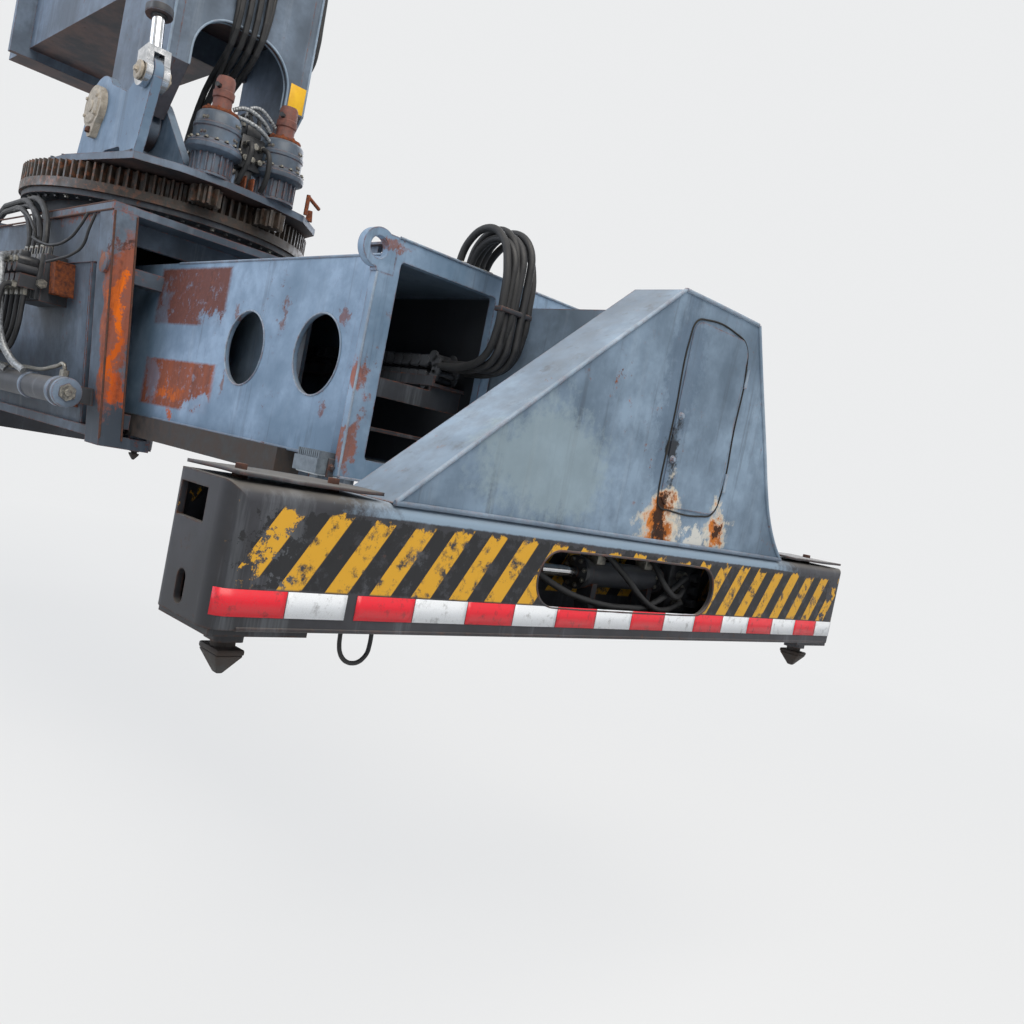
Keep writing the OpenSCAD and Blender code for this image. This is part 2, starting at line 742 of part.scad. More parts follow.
// Drum that carries the slewing ring, with the flange at its top
drum_wall = 50;
module ring_drum() {
  translate([slew_x, 0, 0]) difference() {
    union() {
      translate([0, 0, sleeve_z1]) cylinder(h = rim_z0 - sleeve_z1, r = drum_r, $fn = 96);
      translate([0, 0, rim_z0 - rim_flange]) cylinder(h = rim_flange, r = rim_r - 14, $fn = 96);
    }
    translate([0, 0, sleeve_z1 - 1])
      cylinder(h = rim_z0 - sleeve_z1 + 2, r = drum_r - drum_wall, $fn = 96);
  }
}

// Outline of a gear with straight-sided teeth, thin enough to run free of its mate
module gear_outline(teeth, turn) {
  pr = teeth * tooth_m / 2;
  root = pr - 1.35 * tooth_m;
  tip = pr + 0.9 * tooth_m;
  half = 360 / teeth / 2;
  polygon([for (i = [0 : teeth - 1]) for (p = [[-0.62, root], [-0.24, tip], [0.24, tip], [0.62, root]])
    let (a = turn + i * 2 * half + p[0] * half) [p[1] * cos(a), p[1] * sin(a)]]);
}

// Toothed ring on its lower rim, fixed to the sleeve
module slew_ring() {
  translate([slew_x, 0, 0]) difference() {
    union() {
      translate([0, 0, rim_z0]) cylinder(h = rim_h, r = rim_r, $fn = 96);
      translate([0, 0, gear_z0]) linear_extrude(gear_h)
        gear_outline(ring_teeth, pinion_ang + 180 / ring_teeth);
    }
    translate([0, 0, rim_z0 - 1]) cylinder(h = rim_h + gear_h + 2, r = ring_bore, $fn = 96);
  }
}

// Pinion under a slew motor, in mesh with the ring
module pinion(s) {
  rotate_about = s * pinion_ang;
  translate([slew_x + pinion_off * cos(rotate_about), pinion_off * sin(rotate_about), 0]) {
    translate([0, 0, gear_z0 + 4]) linear_extrude(gear_h - 8)
      gear_outline(pinion_teeth, rotate_about + 180);
    translate([0, 0, gear_z0 + 4]) cylinder(h = plate_lo - gear_z0 + 20, r = pinion_shaft_r);
  }
}

// ROTATOR HEAD

// Outline of the upper plate about the slew axis, in (x, y), wider on the damper's side
head_rim = [[704, -497], [785, -316], [806, -113], [775, 140], [718, 340], [530, 525],
  [181, 590], [-150, 602], [-430, 470], [-600, 230], [-600, -230], [-430, -470], [-150, -602],
  [181, -600], [395, -560]];
module rotator_plate() {
  difference() {
    union() {
      translate([0, 0, plate_lo]) linear_extrude(head_plate)
        polygon([for (p = head_rim) [slew_x + p[0], p[1]]]);
      translate([slew_x, 0, gear_z0 + 4])
        cylinder(h = plate_lo - gear_z0 - 4, r = ring_bore - pad_gap, $fn = 96);
    }
    translate([slew_x, 0, gear_z0]) cylinder(h = plate_lo - gear_z0 - 1, r = 470, $fn = 96);
    translate([slew_x, 0, gear_z0]) cylinder(h = 200, r = swivel_r + pin_gap);
    for (s = [-1, 1])
      translate([slew_x + pinion_off * cos(pinion_ang), s * pinion_off * sin(pinion_ang), plate_lo - 1])
        cylinder(h = head_plate + 2, r = pinion_shaft_r + pin_gap);
  }
}

// Outer lug in (x, z): a lobe round the hanging pin and an arm up to the damper's pin
module lug_outline() {
  foot = hang_x + 494;
  difference() {
    union() {
      polygon([[hang_x - 210, plate_hi], [foot, plate_hi], [foot + 22, plate_hi + 60],
        [damp_lo[0] + 70, damp_lo[1] - 18], [damp_lo[0] - 50, damp_lo[1] + 40],
        [hang_x + 310, 1697], [hang_x + 110, hang_z + 100], [hang_x - 150, hang_z - 30]]);
      translate([hang_x, hang_z]) circle(152);
      translate(damp_lo) circle(68);
    }
    translate([hang_x, hang_z]) circle(hang_pin_r + 0.05);
    translate(damp_lo) circle(damp_pin_r + 0.05);
    translate([hang_x + 140, plate_hi - 30]) round_rect([0, 0], [200, 68], 28);
  }
}

// Inner lug in (x, z): the lobe round the hanging pin and a foot with a long front slope
module inner_lug_outline() {
  difference() {
    union() {
      polygon([[hang_x - 210, plate_hi], [hang_x + 418, plate_hi], [hang_x + 418, plate_hi + 52],
        [hang_x + 105, hang_z + 100], [hang_x - 140, hang_z - 30]]);
      translate([hang_x, hang_z]) circle(144);
    }
    translate([hang_x, hang_z]) circle(hang_pin_r + 0.05);
  }
}

module hang_lugs() {
  along_y(-lug_y - lug_t / 2, lug_t) lug_outline();
  for (s = [-1, 1]) along_y(s * lug_in_y - lug_t / 2, lug_t) inner_lug_outline();
}

// Hanging pins with their keeper plates, and the damper's lower pin
keeper_t = 30;
module hang_pins() {
  face = lug_y + lug_t / 2;
  inner = lug_in_y - lug_t / 2 - 12;
  bar_y(hang_x, -face, -inner, hang_z, hang_pin_r);
  along_y(-face - keeper_t, keeper_t) {
    translate([hang_x, hang_z]) circle(98);
    polygon([[hang_x - 98, hang_z], [hang_x + 98, hang_z], [hang_x + 30, hang_z - 138],
      [hang_x - 10, hang_z - 138]]);
  }
  bar_y(hang_x, inner, right_boss + open_gap, hang_z, hang_pin_r);
  bar_y(hang_x, right_boss + open_gap, right_boss + open_gap + 22, hang_z, 84);
  bar_y(damp_lo[0], -lug_y - 62, -lug_y + 62, damp_lo[1], damp_pin_r);
}

// Slew motors: ribbed base, flange, gearbox and hydraulic motor, turned about their own axis
motor_z = plate_hi;
module slew_motors() {
  for (s = [-1, 1])
    translate([slew_x + pinion_off * cos(pinion_ang), s * pinion_off * sin(pinion_ang), motor_z])
      rotate_extrude() polygon([[0, 34], [pinion_shaft_r + 12, 34], [pinion_shaft_r + 12, 0],
        [motor_r - 28, 0], [motor_r - 28, 98], [motor_r, 108], [motor_r, 142], [motor_r - 26, 156],
        [motor_r - 31, 272], [motor_r - 47, 282], [motor_r - 47, 298], [46, 300], [40, 306],
        [40, 372], [43, 376], [43, 446], [38, 452], [0, 452]]);
}

// Hose swivel in the middle of the upper plate
module hose_swivel() {
  translate([slew_x, 0, plate_lo - 40]) cylinder(h = 150, r = swivel_r);
  translate([slew_x, 0, plate_lo + 108]) cylinder(h = 90, r = 96);
  block([slew_x + 60, -95, plate_lo + 110], [slew_x + 270, 95, plate_lo + 150]);
}

// BOOM HEAD

// Side plate in (x, z), on the damper's side with the nose that carries its upper pin
module side_outline(nose) {
  difference() {
    union() {
      translate([hang_x, hang_z]) circle(146);
      polygon([[hang_x - 140, hang_z - 20], [leg_foot[0], hang_z - 40], leg_foot,
        [face_x1, leg_z0], [face_x1, tube_z1], [head_x0, tube_z1], [head_x0, 1900]]);
      if (nose)
        polygon([[face_x1 - 1, tube_z0 + 90], [damp_hi[0] + 85, damp_hi[1] - 60],
          [damp_hi[0] + 85, damp_hi[1] + 60], [face_x1 - 1, tube_z1 - 130]]);
    }
    translate([hang_x, hang_z]) circle(hang_pin_r + pin_gap);
  }
}

// Foot of the front plate's bent legs, outer face of the bosses, and of the right boss
leg_foot = [hang_x + 135, hang_z + 30];
left_boss = lug_y - lug_t / 2 - open_gap;
right_boss = head_hw + 12;
in_boss = lug_in_y + lug_t / 2 + open_gap;

// Two side plates with the bosses for the pins
module boom_head() {
  inner = head_hw - head_t;
  difference() {
    union() {
      for (s = [-1, 1]) along_y(s > 0 ? inner : -head_hw, head_t) side_outline(s < 0);
      bar_y(hang_x, -left_boss, -in_boss, hang_z, 104);
      bar_y(hang_x, in_boss, right_boss, hang_z, 104);
      bar_y(damp_hi[0], -lug_y + 32, -head_hw, damp_hi[1], 72);
      bar_y(damp_hi[0], -lug_y - 48, -head_hw, damp_hi[1], damp_pin_r);
      bar_y(damp_hi[0], -lug_y - 48, -lug_y - 34, damp_hi[1], 56);
    }
    bar_y(hang_x, -left_boss - 1, -in_boss + 1, hang_z, hang_pin_r + pin_gap);
    bar_y(hang_x, in_boss - 1, right_boss + 1, hang_z, hang_pin_r + pin_gap);
  }
}

// Front plate with its arch, and its legs bent back down to the bosses
module head_front() {
  inner = head_hw - head_t;
  leg = leg_foot - [face_x1, leg_z0];
  in = head_t * [-leg[1], leg[0]] / norm(leg);
  along_x(face_x1 - head_t, head_t) front_outline();
  difference() {
    for (s = [-1, 1])
      along_y(s > 0 ? arch_r : -inner, inner - arch_r) polygon([[face_x1, leg_z0], leg_foot,
        leg_foot - in, [face_x1 - head_t, leg_z0 + 22], [face_x1 - head_t, leg_z0 + 60],
        [face_x1, leg_z0 + 60]]);
    bar_y(hang_x, -inner - 1, inner + 1, hang_z, 104);
  }
}

// Cross plate at the rear of the head
module head_cross() {
  inner = head_hw - head_t;
  block([head_x0, -inner, cross_z0], [head_x0 + 30, inner, tube_z0]);
}

// Front plate in (y, z)
module front_outline() {
  inner = head_hw - head_t;
  difference() {
    translate([-inner, leg_z0]) square([2 * inner, tube_z1 - leg_z0]);
    translate([-arch_r, leg_z0 - 1])
      square([2 * arch_r, arch_top - arch_corner - leg_z0 + 1]);
    round_rect([-arch_r, leg_z0 - 300], [arch_r, arch_top], arch_corner);
  }
}

// Length of boom tube behind the head, with a collar, closed by the end face for the boom
module boom_tube() {
  x1 = head_x0;
  difference() {
    block([tube_x0, -head_hw, tube_z0], [x1, head_hw, tube_z1]);
    block([tube_x0 + 30, -head_hw + tube_wall, tube_z0 + tube_wall],
      [x1 + 1, head_hw - tube_wall, tube_z1 - tube_wall]);
  }
  along_x(tube_x0 + 360, 40) difference() {
    translate([-head_hw - 102, tube_z0 - 56])
      square([2 * head_hw + 204, tube_z1 - tube_z0 + 112]);
    translate([-head_hw + 1, tube_z0 + 1]) square([2 * head_hw - 2, tube_z1 - tube_z0 - 2]);
  }
  for (z = [tube_z0, tube_z1 - tube_wall])
    block([x1, -head_hw + head_t, z], [face_x1 - head_t, head_hw - head_t, z + tube_wall]);
}

// Hoses from the top of the front plate, down through the arch, to the swivel
boom_hose_ys = [-66, -22, 22, 66];
boom_hose_r = 15;
module boom_hoses() {
  for (i = [0 : 3]) {
    y = boom_hose_ys[i];
    tube([[face_x1 + 26, y, 2860], [face_x1 + 26, y, 2700], [face_x1 + 26, y, 2560],
      [face_x1 + 26, y, 2430], [face_x1 + 26, y, 2330], [face_x1 + 24, y, 2250],
      [face_x1 + 12, y, 2172], [face_x1 - 20, y * 0.98, 2108], [face_x1 - 68, y * 0.96, 2056],
      [face_x1 - 124, y * 0.93, 2014], [face_x1 - 180, y * 0.9, 1972],
      [face_x1 - 232, y * 0.86, 1918], [face_x1 - 276, y * 0.82, 1852],
      [face_x1 - 312, y * 0.79, 1780], [face_x1 - 340, y * 0.77, 1706],
      [face_x1 - 358, y * 0.75, 1632], [face_x1 - 366, y * 0.75, plate_lo + 173]],
      boom_hose_r, 10);
  }
  for (z = [2560, 2800])
    block([face_x1, -100, z], [face_x1 + 52, 100, z + 26]);
}

// Damper in its own frame: upper pin at the origin, rod towards -Z
module damper_frame() {
  translate([damp_hi[0], -lug_y, damp_hi[1]]) rotate([0, damp_tilt, 0]) children();
}

damp_gland = 706;
module damper_barrel() {
  damper_frame() difference() {
    union() {
      bar_y(0, -30, 30, 0, 66);
      block([-44, -30, -110], [44, 30, -20]);
      translate([0, 0, -damp_gland]) cylinder(h = damp_gland - 86, r = damp_r);
    }
    bar_y(0, -31, 31, 0, damp_pin_r + pin_gap);
    translate([0, 0, -damp_gland - 1]) cylinder(h = damp_gland - 119, r = damp_rod_r + pin_gap);
  }
}

// Rod with its fork, which reaches round the lug's arm
module damper_rod() {
  ear = 28;
  gap = lug_t / 2 + 3;
  damper_frame() difference() {
    union() {
      translate([0, 0, -damp_len + 90]) cylinder(h = damp_len - 90 - 300, r = damp_rod_r);
      for (e = [-1, 1]) bar_y(0, e > 0 ? gap : -gap - ear, e > 0 ? gap + ear : -gap, -damp_len, 62);
      for (e = [-1, 1]) block([-50, e > 0 ? gap : -gap - ear, -damp_len],
        [50, e > 0 ? gap + ear : -gap, -damp_len + 100]);
      block([-50, -gap - ear, -damp_len + 80], [50, gap + ear, -damp_len + 106]);
    }
    bar_y(0, -gap - ear - 1, gap + ear + 1, -damp_len, damp_pin_r + eye_gap);
  }
}

// VALVES AND HOSES ON THE SLEEVE

valve_x0 = slew_x + 250;
valve_x1 = valve_x0 + 360;
valve_z0 = 700;
valve_z1 = 900;
valve_y = -735;
valve_low = 620;

module valve_block() {
  along_x(valve_x0, valve_x1 - valve_x0) polygon([[valve_y, valve_z0],
    [side_face(valve_z0), valve_z0], [side_face(valve_z1), valve_z1], [valve_y, valve_z1]]);
  for (i = [0 : 4]) {
    x = valve_x0 + 44 + 68 * i;
    block([x - 26, valve_y - 84, valve_z0 + 40], [x + 26, valve_y, valve_z0 + 96]);
    bar_y(x, valve_y - 100, valve_y, valve_z1 - 80, 22);
    post_round(x, valve_y + 20, valve_z1, valve_z1 + 34, 15);
  }
}

// Hoses below the valves run to the rear, and a bundle comes down to them from the top plate
module sleeve_hoses() {
  for (i = [0 : 4]) {
    x = valve_x0 + 44 + 68 * i;
    y = valve_y - 48;
    bend = 46 + 26 * i;
    post_round(x, y, valve_low, valve_z0 + 40, 11);
    translate([x - bend, y, valve_low]) rotate([90, 0, 0]) rotate_extrude(angle = -90)
      translate([bend, 0]) circle(11);
    bar_x(sleeve_x0 + 200, x - bend, y, valve_low - bend, 11);
  }
  for (x = [sleeve_x0 + 260, sleeve_x0 + 620]) along_x(x, 24) polygon([
    [valve_y - 66, valve_low - 168], [side_face(valve_low - 168), valve_low - 168],
    [side_face(valve_low - 22), valve_low - 22], [valve_y - 66, valve_low - 22]]);
  for (i = [0 : 3]) {
    x = valve_x0 + 44 + 68 * i;
    z = sleeve_z1 + 18 + 30 * (i % 2);
    y = valve_y + 20;
    tube([[sleeve_x0 + 340, y + 120, z - 4], [sleeve_x0 + 480, y + 100, z + 2],
      [sleeve_x0 + 640, y + 70, z + 16], [sleeve_x0 + 800, y + 44, z + 26],
      [x - 420, y + 30, z + 24], [x - 300, y + 14, z + 18], [x - 200, y + 2, z + 4],
      [x - 120, y - 2, z - 22], [x - 60, y - 2, z - 60], [x - 20, y, z - 110],
      [x - 2, y, valve_z1 + 80], [x, y, valve_z1 + 58], [x, y, valve_z1 + 34]], 13, 10);
  }
}

// DRAWING

placed() color(slate) boom_head();
placed() color(slate) head_front();
placed() color(slate) head_cross();
placed() color(slate) boom_tube();
placed() color(black) boom_hoses();
placed() color(slate) damper_barrel();
placed() color(chrome) damper_rod();
placed() color(slate) rotator_plate();
placed() color(blue) hang_lugs();
placed() color(chrome) hang_pins();
placed() color(slate) slew_motors();
placed() color(black) hose_swivel();
placed() color(black) pinion(-1);  // pinion_left
placed() color(black) pinion(1);  // pinion_right
placed() color(black) slew_ring();
placed() color(slate) ring_drum();
placed() color(slate) sleeve_top();
placed() color(slate) mirror([0, 1, 0]) sleeve_side();  // sleeve_side_left
placed() color(slate) sleeve_side();  // sleeve_side_right
placed() color(slate) shift_barrel();
placed() color(black) valve_block();
placed() color(black) sleeve_hoses();
placed() color(blue) frame_plates();
placed() color(blue) frame_web();
placed() color(blue) frame_walls();
placed() color(blue) end_plates();
placed() color(blue) lifting_eyes();
placed() color(charcoal) slide_rails();
placed() color(black) frame_pads();
placed() color(charcoal) chain_tray();
placed() color(black) energy_chain();
placed() color(black) frame_hoses();
placed() color(charcoal) work_lamps();
placed() color(chrome) shift_rod();
placed() color(slate) hose_cover();
placed() color(black) ext_beam();  // ext_beam_near
placed() color(charcoal) end_beam();  // end_beam_near
placed() color(blue) tower();  // tower_near
placed() color(charcoal) beam_covers();  // beam_covers_near
placed() color(charcoal) lock_barrel();  // lock_barrel_near
placed() color(chrome) lock_rod();  // lock_rod_near
placed() color(black) tube(cable_pts, cable_r, 8);  // beam_cable
placed() color(black) far_end() ext_beam();  // ext_beam_far
placed() color(charcoal) far_end() end_beam();  // end_beam_far
placed() color(blue) far_end() tower();  // tower_far
placed() color(charcoal) far_end() beam_covers();  // beam_covers_far
placed() color(charcoal) far_end() lock_barrel();  // lock_barrel_far
placed() color(chrome) far_end() lock_rod();  // lock_rod_far
placed() color(brown) twistlock(-1);  // twistlocks_near_left
placed() color(brown) twistlock(1);  // twistlocks_near_right
placed() color(brown) far_end() twistlock(1);  // twistlocks_far_left
placed() color(brown) far_end() twistlock(-1);  // twistlocks_far_right
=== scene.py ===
import math

import bmesh
import bpy
from mathutils import Matrix, Vector, noise


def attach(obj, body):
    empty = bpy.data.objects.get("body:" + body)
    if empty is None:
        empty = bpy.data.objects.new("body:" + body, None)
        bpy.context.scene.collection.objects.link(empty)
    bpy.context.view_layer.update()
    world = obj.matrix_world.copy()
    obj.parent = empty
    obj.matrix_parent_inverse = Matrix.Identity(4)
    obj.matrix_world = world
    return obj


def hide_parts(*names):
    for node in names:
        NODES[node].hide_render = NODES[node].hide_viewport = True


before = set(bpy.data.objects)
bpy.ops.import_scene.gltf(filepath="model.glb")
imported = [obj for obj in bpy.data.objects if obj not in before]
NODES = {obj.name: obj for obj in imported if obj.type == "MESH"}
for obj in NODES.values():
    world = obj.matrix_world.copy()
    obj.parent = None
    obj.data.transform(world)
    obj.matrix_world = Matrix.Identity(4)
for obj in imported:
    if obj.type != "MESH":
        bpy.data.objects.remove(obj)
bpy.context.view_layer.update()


def at(x, y, z):
    """Millimetres from the middle of the spreader, at the underside of its end beams."""
    return Vector((x / 1000 + 2.336, y / 1000, z / 1000 - 2.735))


# ---------------------------------------------------------------- camera, light and floor

eye = at(4515.3, -2037.7, 376.7)
right = Vector((0.69222, 0.69495, 0.19461))
up = Vector((-0.16617, -0.10892, 0.98006))
back = Vector((0.70229, -0.71076, 0.04008))

lens = bpy.data.cameras.new("photo_view")
lens.sensor_width = 36
lens.lens = 36 * 934.37 / 1024
lens.clip_end = 100
camera = bpy.data.objects.new("photo_view", lens)
bpy.context.scene.collection.objects.link(camera)
camera.matrix_world = Matrix((
    (right.x, up.x, back.x, eye.x),
    (right.y, up.y, back.y, eye.y),
    (right.z, up.z, back.z, eye.z),
    (0, 0, 0, 1)))
bpy.context.scene.camera = camera
bpy.context.scene.view_settings.view_transform = "Standard"


def put(tree, kind, feed=None, **settings):
    """Adds one node with its settings. Its sockets, by name or number, are fed with values or
    from other nodes."""
    made = tree.nodes.new("ShaderNode" + kind)
    for key, value in settings.items():
        setattr(made, key, value)
    for key, value in (feed or {}).items():
        socket = (made.inputs[key] if isinstance(key, int)
                  else next(s for s in made.inputs if s.name == key and s.enabled))
        if isinstance(value, bpy.types.Node):
            value = next(s for s in value.outputs if s.enabled)
        if isinstance(value, bpy.types.NodeSocket):
            tree.links.new(value, socket)
        else:
            socket.default_value = value
    return made


def ink(code, alpha=1.0):
    """An sRGB hex colour as Blender's linear one."""
    raw = [int(code[i:i + 2], 16) / 255 for i in (1, 3, 5)]
    return tuple(c / 12.92 if c <= 0.04045 else ((c + 0.055) / 1.055) ** 2.4 for c in raw) + (alpha,)


def size_mm(mm):
    """Scale of a pattern whose features are mm wide."""
    return 1000 / mm


def blank(name):
    mat = bpy.data.materials.new(name)
    mat.use_nodes = True
    mat.node_tree.nodes.clear()
    return mat, mat.node_tree


# Lamps: an overcast sky all round and three broad soft sources
world = bpy.data.worlds.new("pale_sky")
bpy.context.scene.world = world
world.use_nodes = True
sky = world.node_tree
sky.nodes.clear()
seen = put(sky, "LightPath")
shows = put(sky, "Math", {0: seen.outputs["Is Camera Ray"], 1: seen.outputs["Is Glossy Ray"]},
            operation="ADD")
both = put(sky, "Math", {0: shows, 1: seen.outputs["Is Transmission Ray"]}, operation="ADD",
           use_clamp=True)
dome = put(sky, "Background", {"Color": ink("#DCE3EC"), "Strength": 0.62})
card = put(sky, "Background", {"Color": ink("#F1F2F3"), "Strength": 0.95})
mixed = put(sky, "MixShader", {0: both, 1: dome, 2: card})
put(sky, "OutputWorld", {"Surface": mixed})


def soft_lamp(name, place, aim, width, power, tint):
    data = bpy.data.lights.new(name, "AREA")
    data.size = width
    data.energy = power
    data.color = ink(tint)[:3]
    lamp = bpy.data.objects.new(name, data)
    bpy.context.scene.collection.objects.link(lamp)
    lamp.location = place
    lamp.rotation_euler = (aim - place).to_track_quat("-Z", "Y").to_euler()


soft_lamp("key_sky", at(5200, -1500, 6200), at(600, 0, 600), 5.5, 520, "#FFF8EE")
soft_lamp("fill_sky", at(-3500, -6500, 3800), at(0, 0, 800), 6.0, 330, "#E8F0FF")
soft_lamp("rear_sky", at(-2500, 6000, 4500), at(0, 0, 800), 6.0, 260, "#F4F6FF")

floor_bm = bmesh.new()
bmesh.ops.create_grid(floor_bm, x_segments=1, y_segments=1, size=60)
floor_mesh = bpy.data.meshes.new("floor")
floor_bm.to_mesh(floor_mesh)
floor_bm.free()
floor_obj = bpy.data.objects.new("floor", floor_mesh)
bpy.context.scene.collection.objects.link(floor_obj)
floor_obj.location = at(0, 0, -1250)
floor_mat, t = blank("pale_floor")
lit = put(t, "BsdfDiffuse", {"Color": ink("#E2E1DE"), "Roughness": 0.5})
even = put(t, "Emission", {"Color": ink("#F1F2F3"), "Strength": 0.95})
asks = put(t, "LightPath")
spread = put(t, "VectorMath", {0: put(t, "TexCoord").outputs["Object"]}, operation="LENGTH")
far = put(t, "MapRange", {"Value": spread.outputs["Value"], "From Min": 3.0, "From Max": 9.0,
                          "To Min": 0.8, "To Max": 1.0})
part = put(t, "Math", {0: asks.outputs["Is Camera Ray"], 1: far}, operation="MULTIPLY")
mixed = put(t, "MixShader", {0: part, 1: lit, 2: even})
put(t, "OutputMaterial", {"Surface": mixed})
floor_mesh.materials.append(floor_mat)


# ---------------------------------------------------------------- finishes

def painted_steel(name, coat, shade, chip=0.5, runs=0.5, dust=0.4, rough=0.55, patches=(),
                  rust_dark="#4A2A20", rust_mid="#8A4A24", extra=None):
    """Brushed machine enamel on plate, outdoors for years: two tones of the faded coat, dark rain
    runs, dust on top faces, rust at edges and in chips. A patch is a form, its middle and half
    sizes in spreader millimetres, a colour, a strength and how ragged its rim is. The forms:
    round and box are rust that shows through, paint and inner are a plain colour laid over, and
    coat lays sound enamel back over rust and has no colour of its own. Box and inner have
    straight sides."""
    mat, t = blank(name)
    place = put(t, "TexCoord").outputs["Object"]
    surface = put(t, "NewGeometry")

    # Tones of the coat: fading by the hand's width, mottling by the thumb's width
    fade = put(t, "TexNoise", {"Vector": place, "Scale": size_mm(420), "Detail": 5.0,
                               "Roughness": 0.6})
    fade_at = put(t, "MapRange", {"Value": fade, "From Min": 0.40, "From Max": 0.60})
    coat_tone = put(t, "Mix", {"Factor": fade_at, "A": ink(coat), "B": ink(shade)},
                    data_type="RGBA")
    mottle = put(t, "TexNoise", {"Vector": place, "Scale": size_mm(70), "Detail": 7.0,
                                 "Roughness": 0.65})
    mottle_at = put(t, "MapRange", {"Value": mottle, "From Min": 0.42, "From Max": 0.72,
                                    "To Max": 0.7})
    mottled = put(t, "Mix", {"Factor": mottle_at, "A": coat_tone, "B": ink(shade)},
                  data_type="RGBA")

    # Rain runs: dark soot carried down the plate, a finger wide and half a metre long
    fall = put(t, "Mapping", {"Vector": place, "Scale": (1.0, 1.0, 0.06)})
    run = put(t, "TexNoise", {"Vector": fall, "Scale": size_mm(46), "Detail": 4.0,
                              "Roughness": 0.7})
    run_at = put(t, "MapRange", {"Value": run, "From Min": 0.56, "From Max": 0.74,
                                 "To Max": 0.62 * runs})
    sooty = put(t, "Mix", {"Factor": run_at, "A": mottled, "B": ink("#3B4048")},
                data_type="RGBA")

    # Chalky wash: pale streaks where the coat has weathered thin
    wash = put(t, "TexNoise", {"Vector": fall, "Scale": size_mm(90), "Detail": 6.0,
                               "Roughness": 0.75})
    wash_at = put(t, "MapRange", {"Value": wash, "From Min": 0.55, "From Max": 0.8,
                                  "To Max": 0.45 * dust})
    washed = put(t, "Mix", {"Factor": wash_at, "A": sooty, "B": ink("#B4BDC6")},
                 data_type="RGBA")

    # Edges knocked bare, broken up by a grain of a few millimetres
    bent = put(t, "Bevel", {"Radius": 0.008}, samples=4)
    same = put(t, "VectorMath", {0: bent, 1: surface.outputs["Normal"]}, operation="DOT_PRODUCT")
    edge = put(t, "MapRange", {"Value": same.outputs["Value"], "From Min": 0.995,
                               "From Max": 0.86})
    grain = put(t, "TexNoise", {"Vector": place, "Scale": size_mm(28), "Detail": 8.0,
                                "Roughness": 0.72})
    grain_at = put(t, "MapRange", {"Value": grain, "From Min": 0.40, "From Max": 0.62})
    knocked = put(t, "Math", {0: edge, 1: grain_at}, operation="MULTIPLY")

    # Chips in the open plate, where a coarse and a fine pattern meet
    field = put(t, "TexNoise", {"Vector": place, "Scale": size_mm(260), "Detail": 3.0})
    field_at = put(t, "MapRange", {"Value": field, "From Min": 0.5, "From Max": 0.72})
    spot = put(t, "MapRange", {"Value": grain, "From Min": 0.66 - 0.10 * chip,
                               "From Max": 0.72 - 0.10 * chip})
    chips = put(t, "Math", {0: field_at, 1: spot}, operation="MULTIPLY")
    bare = put(t, "Math", {0: knocked, 1: chips}, operation="MAXIMUM")

    # Rust colour: dark scale with brighter powder in it
    scale = put(t, "TexNoise", {"Vector": place, "Scale": size_mm(18), "Detail": 9.0,
                                "Roughness": 0.7})
    scale_at = put(t, "MapRange", {"Value": scale, "From Min": 0.38, "From Max": 0.66})
    rust = put(t, "Mix", {"Factor": scale_at, "A": ink(rust_dark), "B": ink(rust_mid)},
               data_type="RGBA")
    colour = put(t, "Mix", {"Factor": bare, "A": washed, "B": rust}, data_type="RGBA")
    worn = bare

    # Placed patches. Their rims stray by a few centimetres, most of all downwards, where water
    # carries the rust; inside they are streaked, with specks of sound coat left
    half_way = put(t, "MapRange", {"Value": run, "From Min": 0.40, "From Max": 0.62,
                                   "To Max": 0.75})
    ragged = put(t, "TexNoise", {"Vector": place, "Scale": size_mm(150), "Detail": 9.0,
                                 "Roughness": 0.72})
    centred = put(t, "VectorMath", {0: ragged.outputs["Color"], 1: (0.5, 0.5, 0.5)},
                  operation="SUBTRACT")
    stray = put(t, "VectorMath", {0: centred, 1: (0.22, 0.22, 0.40)}, operation="MULTIPLY")
    strayed = put(t, "VectorMath", {0: place, 1: stray}, operation="ADD")
    sound = put(t, "MapRange", {"Value": grain, "From Min": 0.30, "From Max": 0.44,
                                "To Min": 0.25})
    for form, centre, half, tint, share, fray in patches:
        off = put(t, "VectorMath", {0: place if form in ("box", "inner") else strayed,
                                    1: at(*centre)}, operation="SUBTRACT")
        near = put(t, "VectorMath", {0: off, 1: [h / 1000 for h in half]}, operation="DIVIDE")
        if form in ("box", "inner"):
            flat = put(t, "VectorMath", {0: near}, operation="ABSOLUTE")
            three = put(t, "SeparateXYZ", {"Vector": flat})
            two = put(t, "Math", {0: three.outputs["X"], 1: three.outputs["Y"]},
                      operation="MAXIMUM")
            reach = put(t, "Math", {0: two, 1: three.outputs["Z"]}, operation="MAXIMUM")
        else:
            reach = put(t, "VectorMath", {0: near}, operation="LENGTH")
            reach = reach.outputs["Value"]
        rim = put(t, "Math", {0: scale, 1: fray, 2: reach}, operation="MULTIPLY_ADD")
        inside = put(t, "MapRange", {"Value": rim, "From Min": 1 + 0.5 * fray + 0.03,
                                     "From Max": 1 + 0.5 * fray - 0.03 - 0.3 * fray,
                                     "To Max": share})
        if form == "coat":
            colour = put(t, "Mix", {"Factor": inside, "A": colour, "B": washed},
                         data_type="RGBA")
            worn = put(t, "Math", {0: worn, 1: inside}, operation="SUBTRACT", use_clamp=True)
            continue
        if form in ("paint", "inner"):
            colour = put(t, "Mix", {"Factor": inside, "A": colour, "B": ink(tint)},
                         data_type="RGBA")
            continue
        held = put(t, "Math", {0: inside, 1: sound}, operation="MULTIPLY")
        speck = put(t, "Mix", {"Factor": half_way, "A": ink(tint), "B": rust}, data_type="RGBA")
        colour = put(t, "Mix", {"Factor": held, "A": colour, "B": speck}, data_type="RGBA")
        worn = put(t, "Math", {0: worn, 1: held}, operation="MAXIMUM")

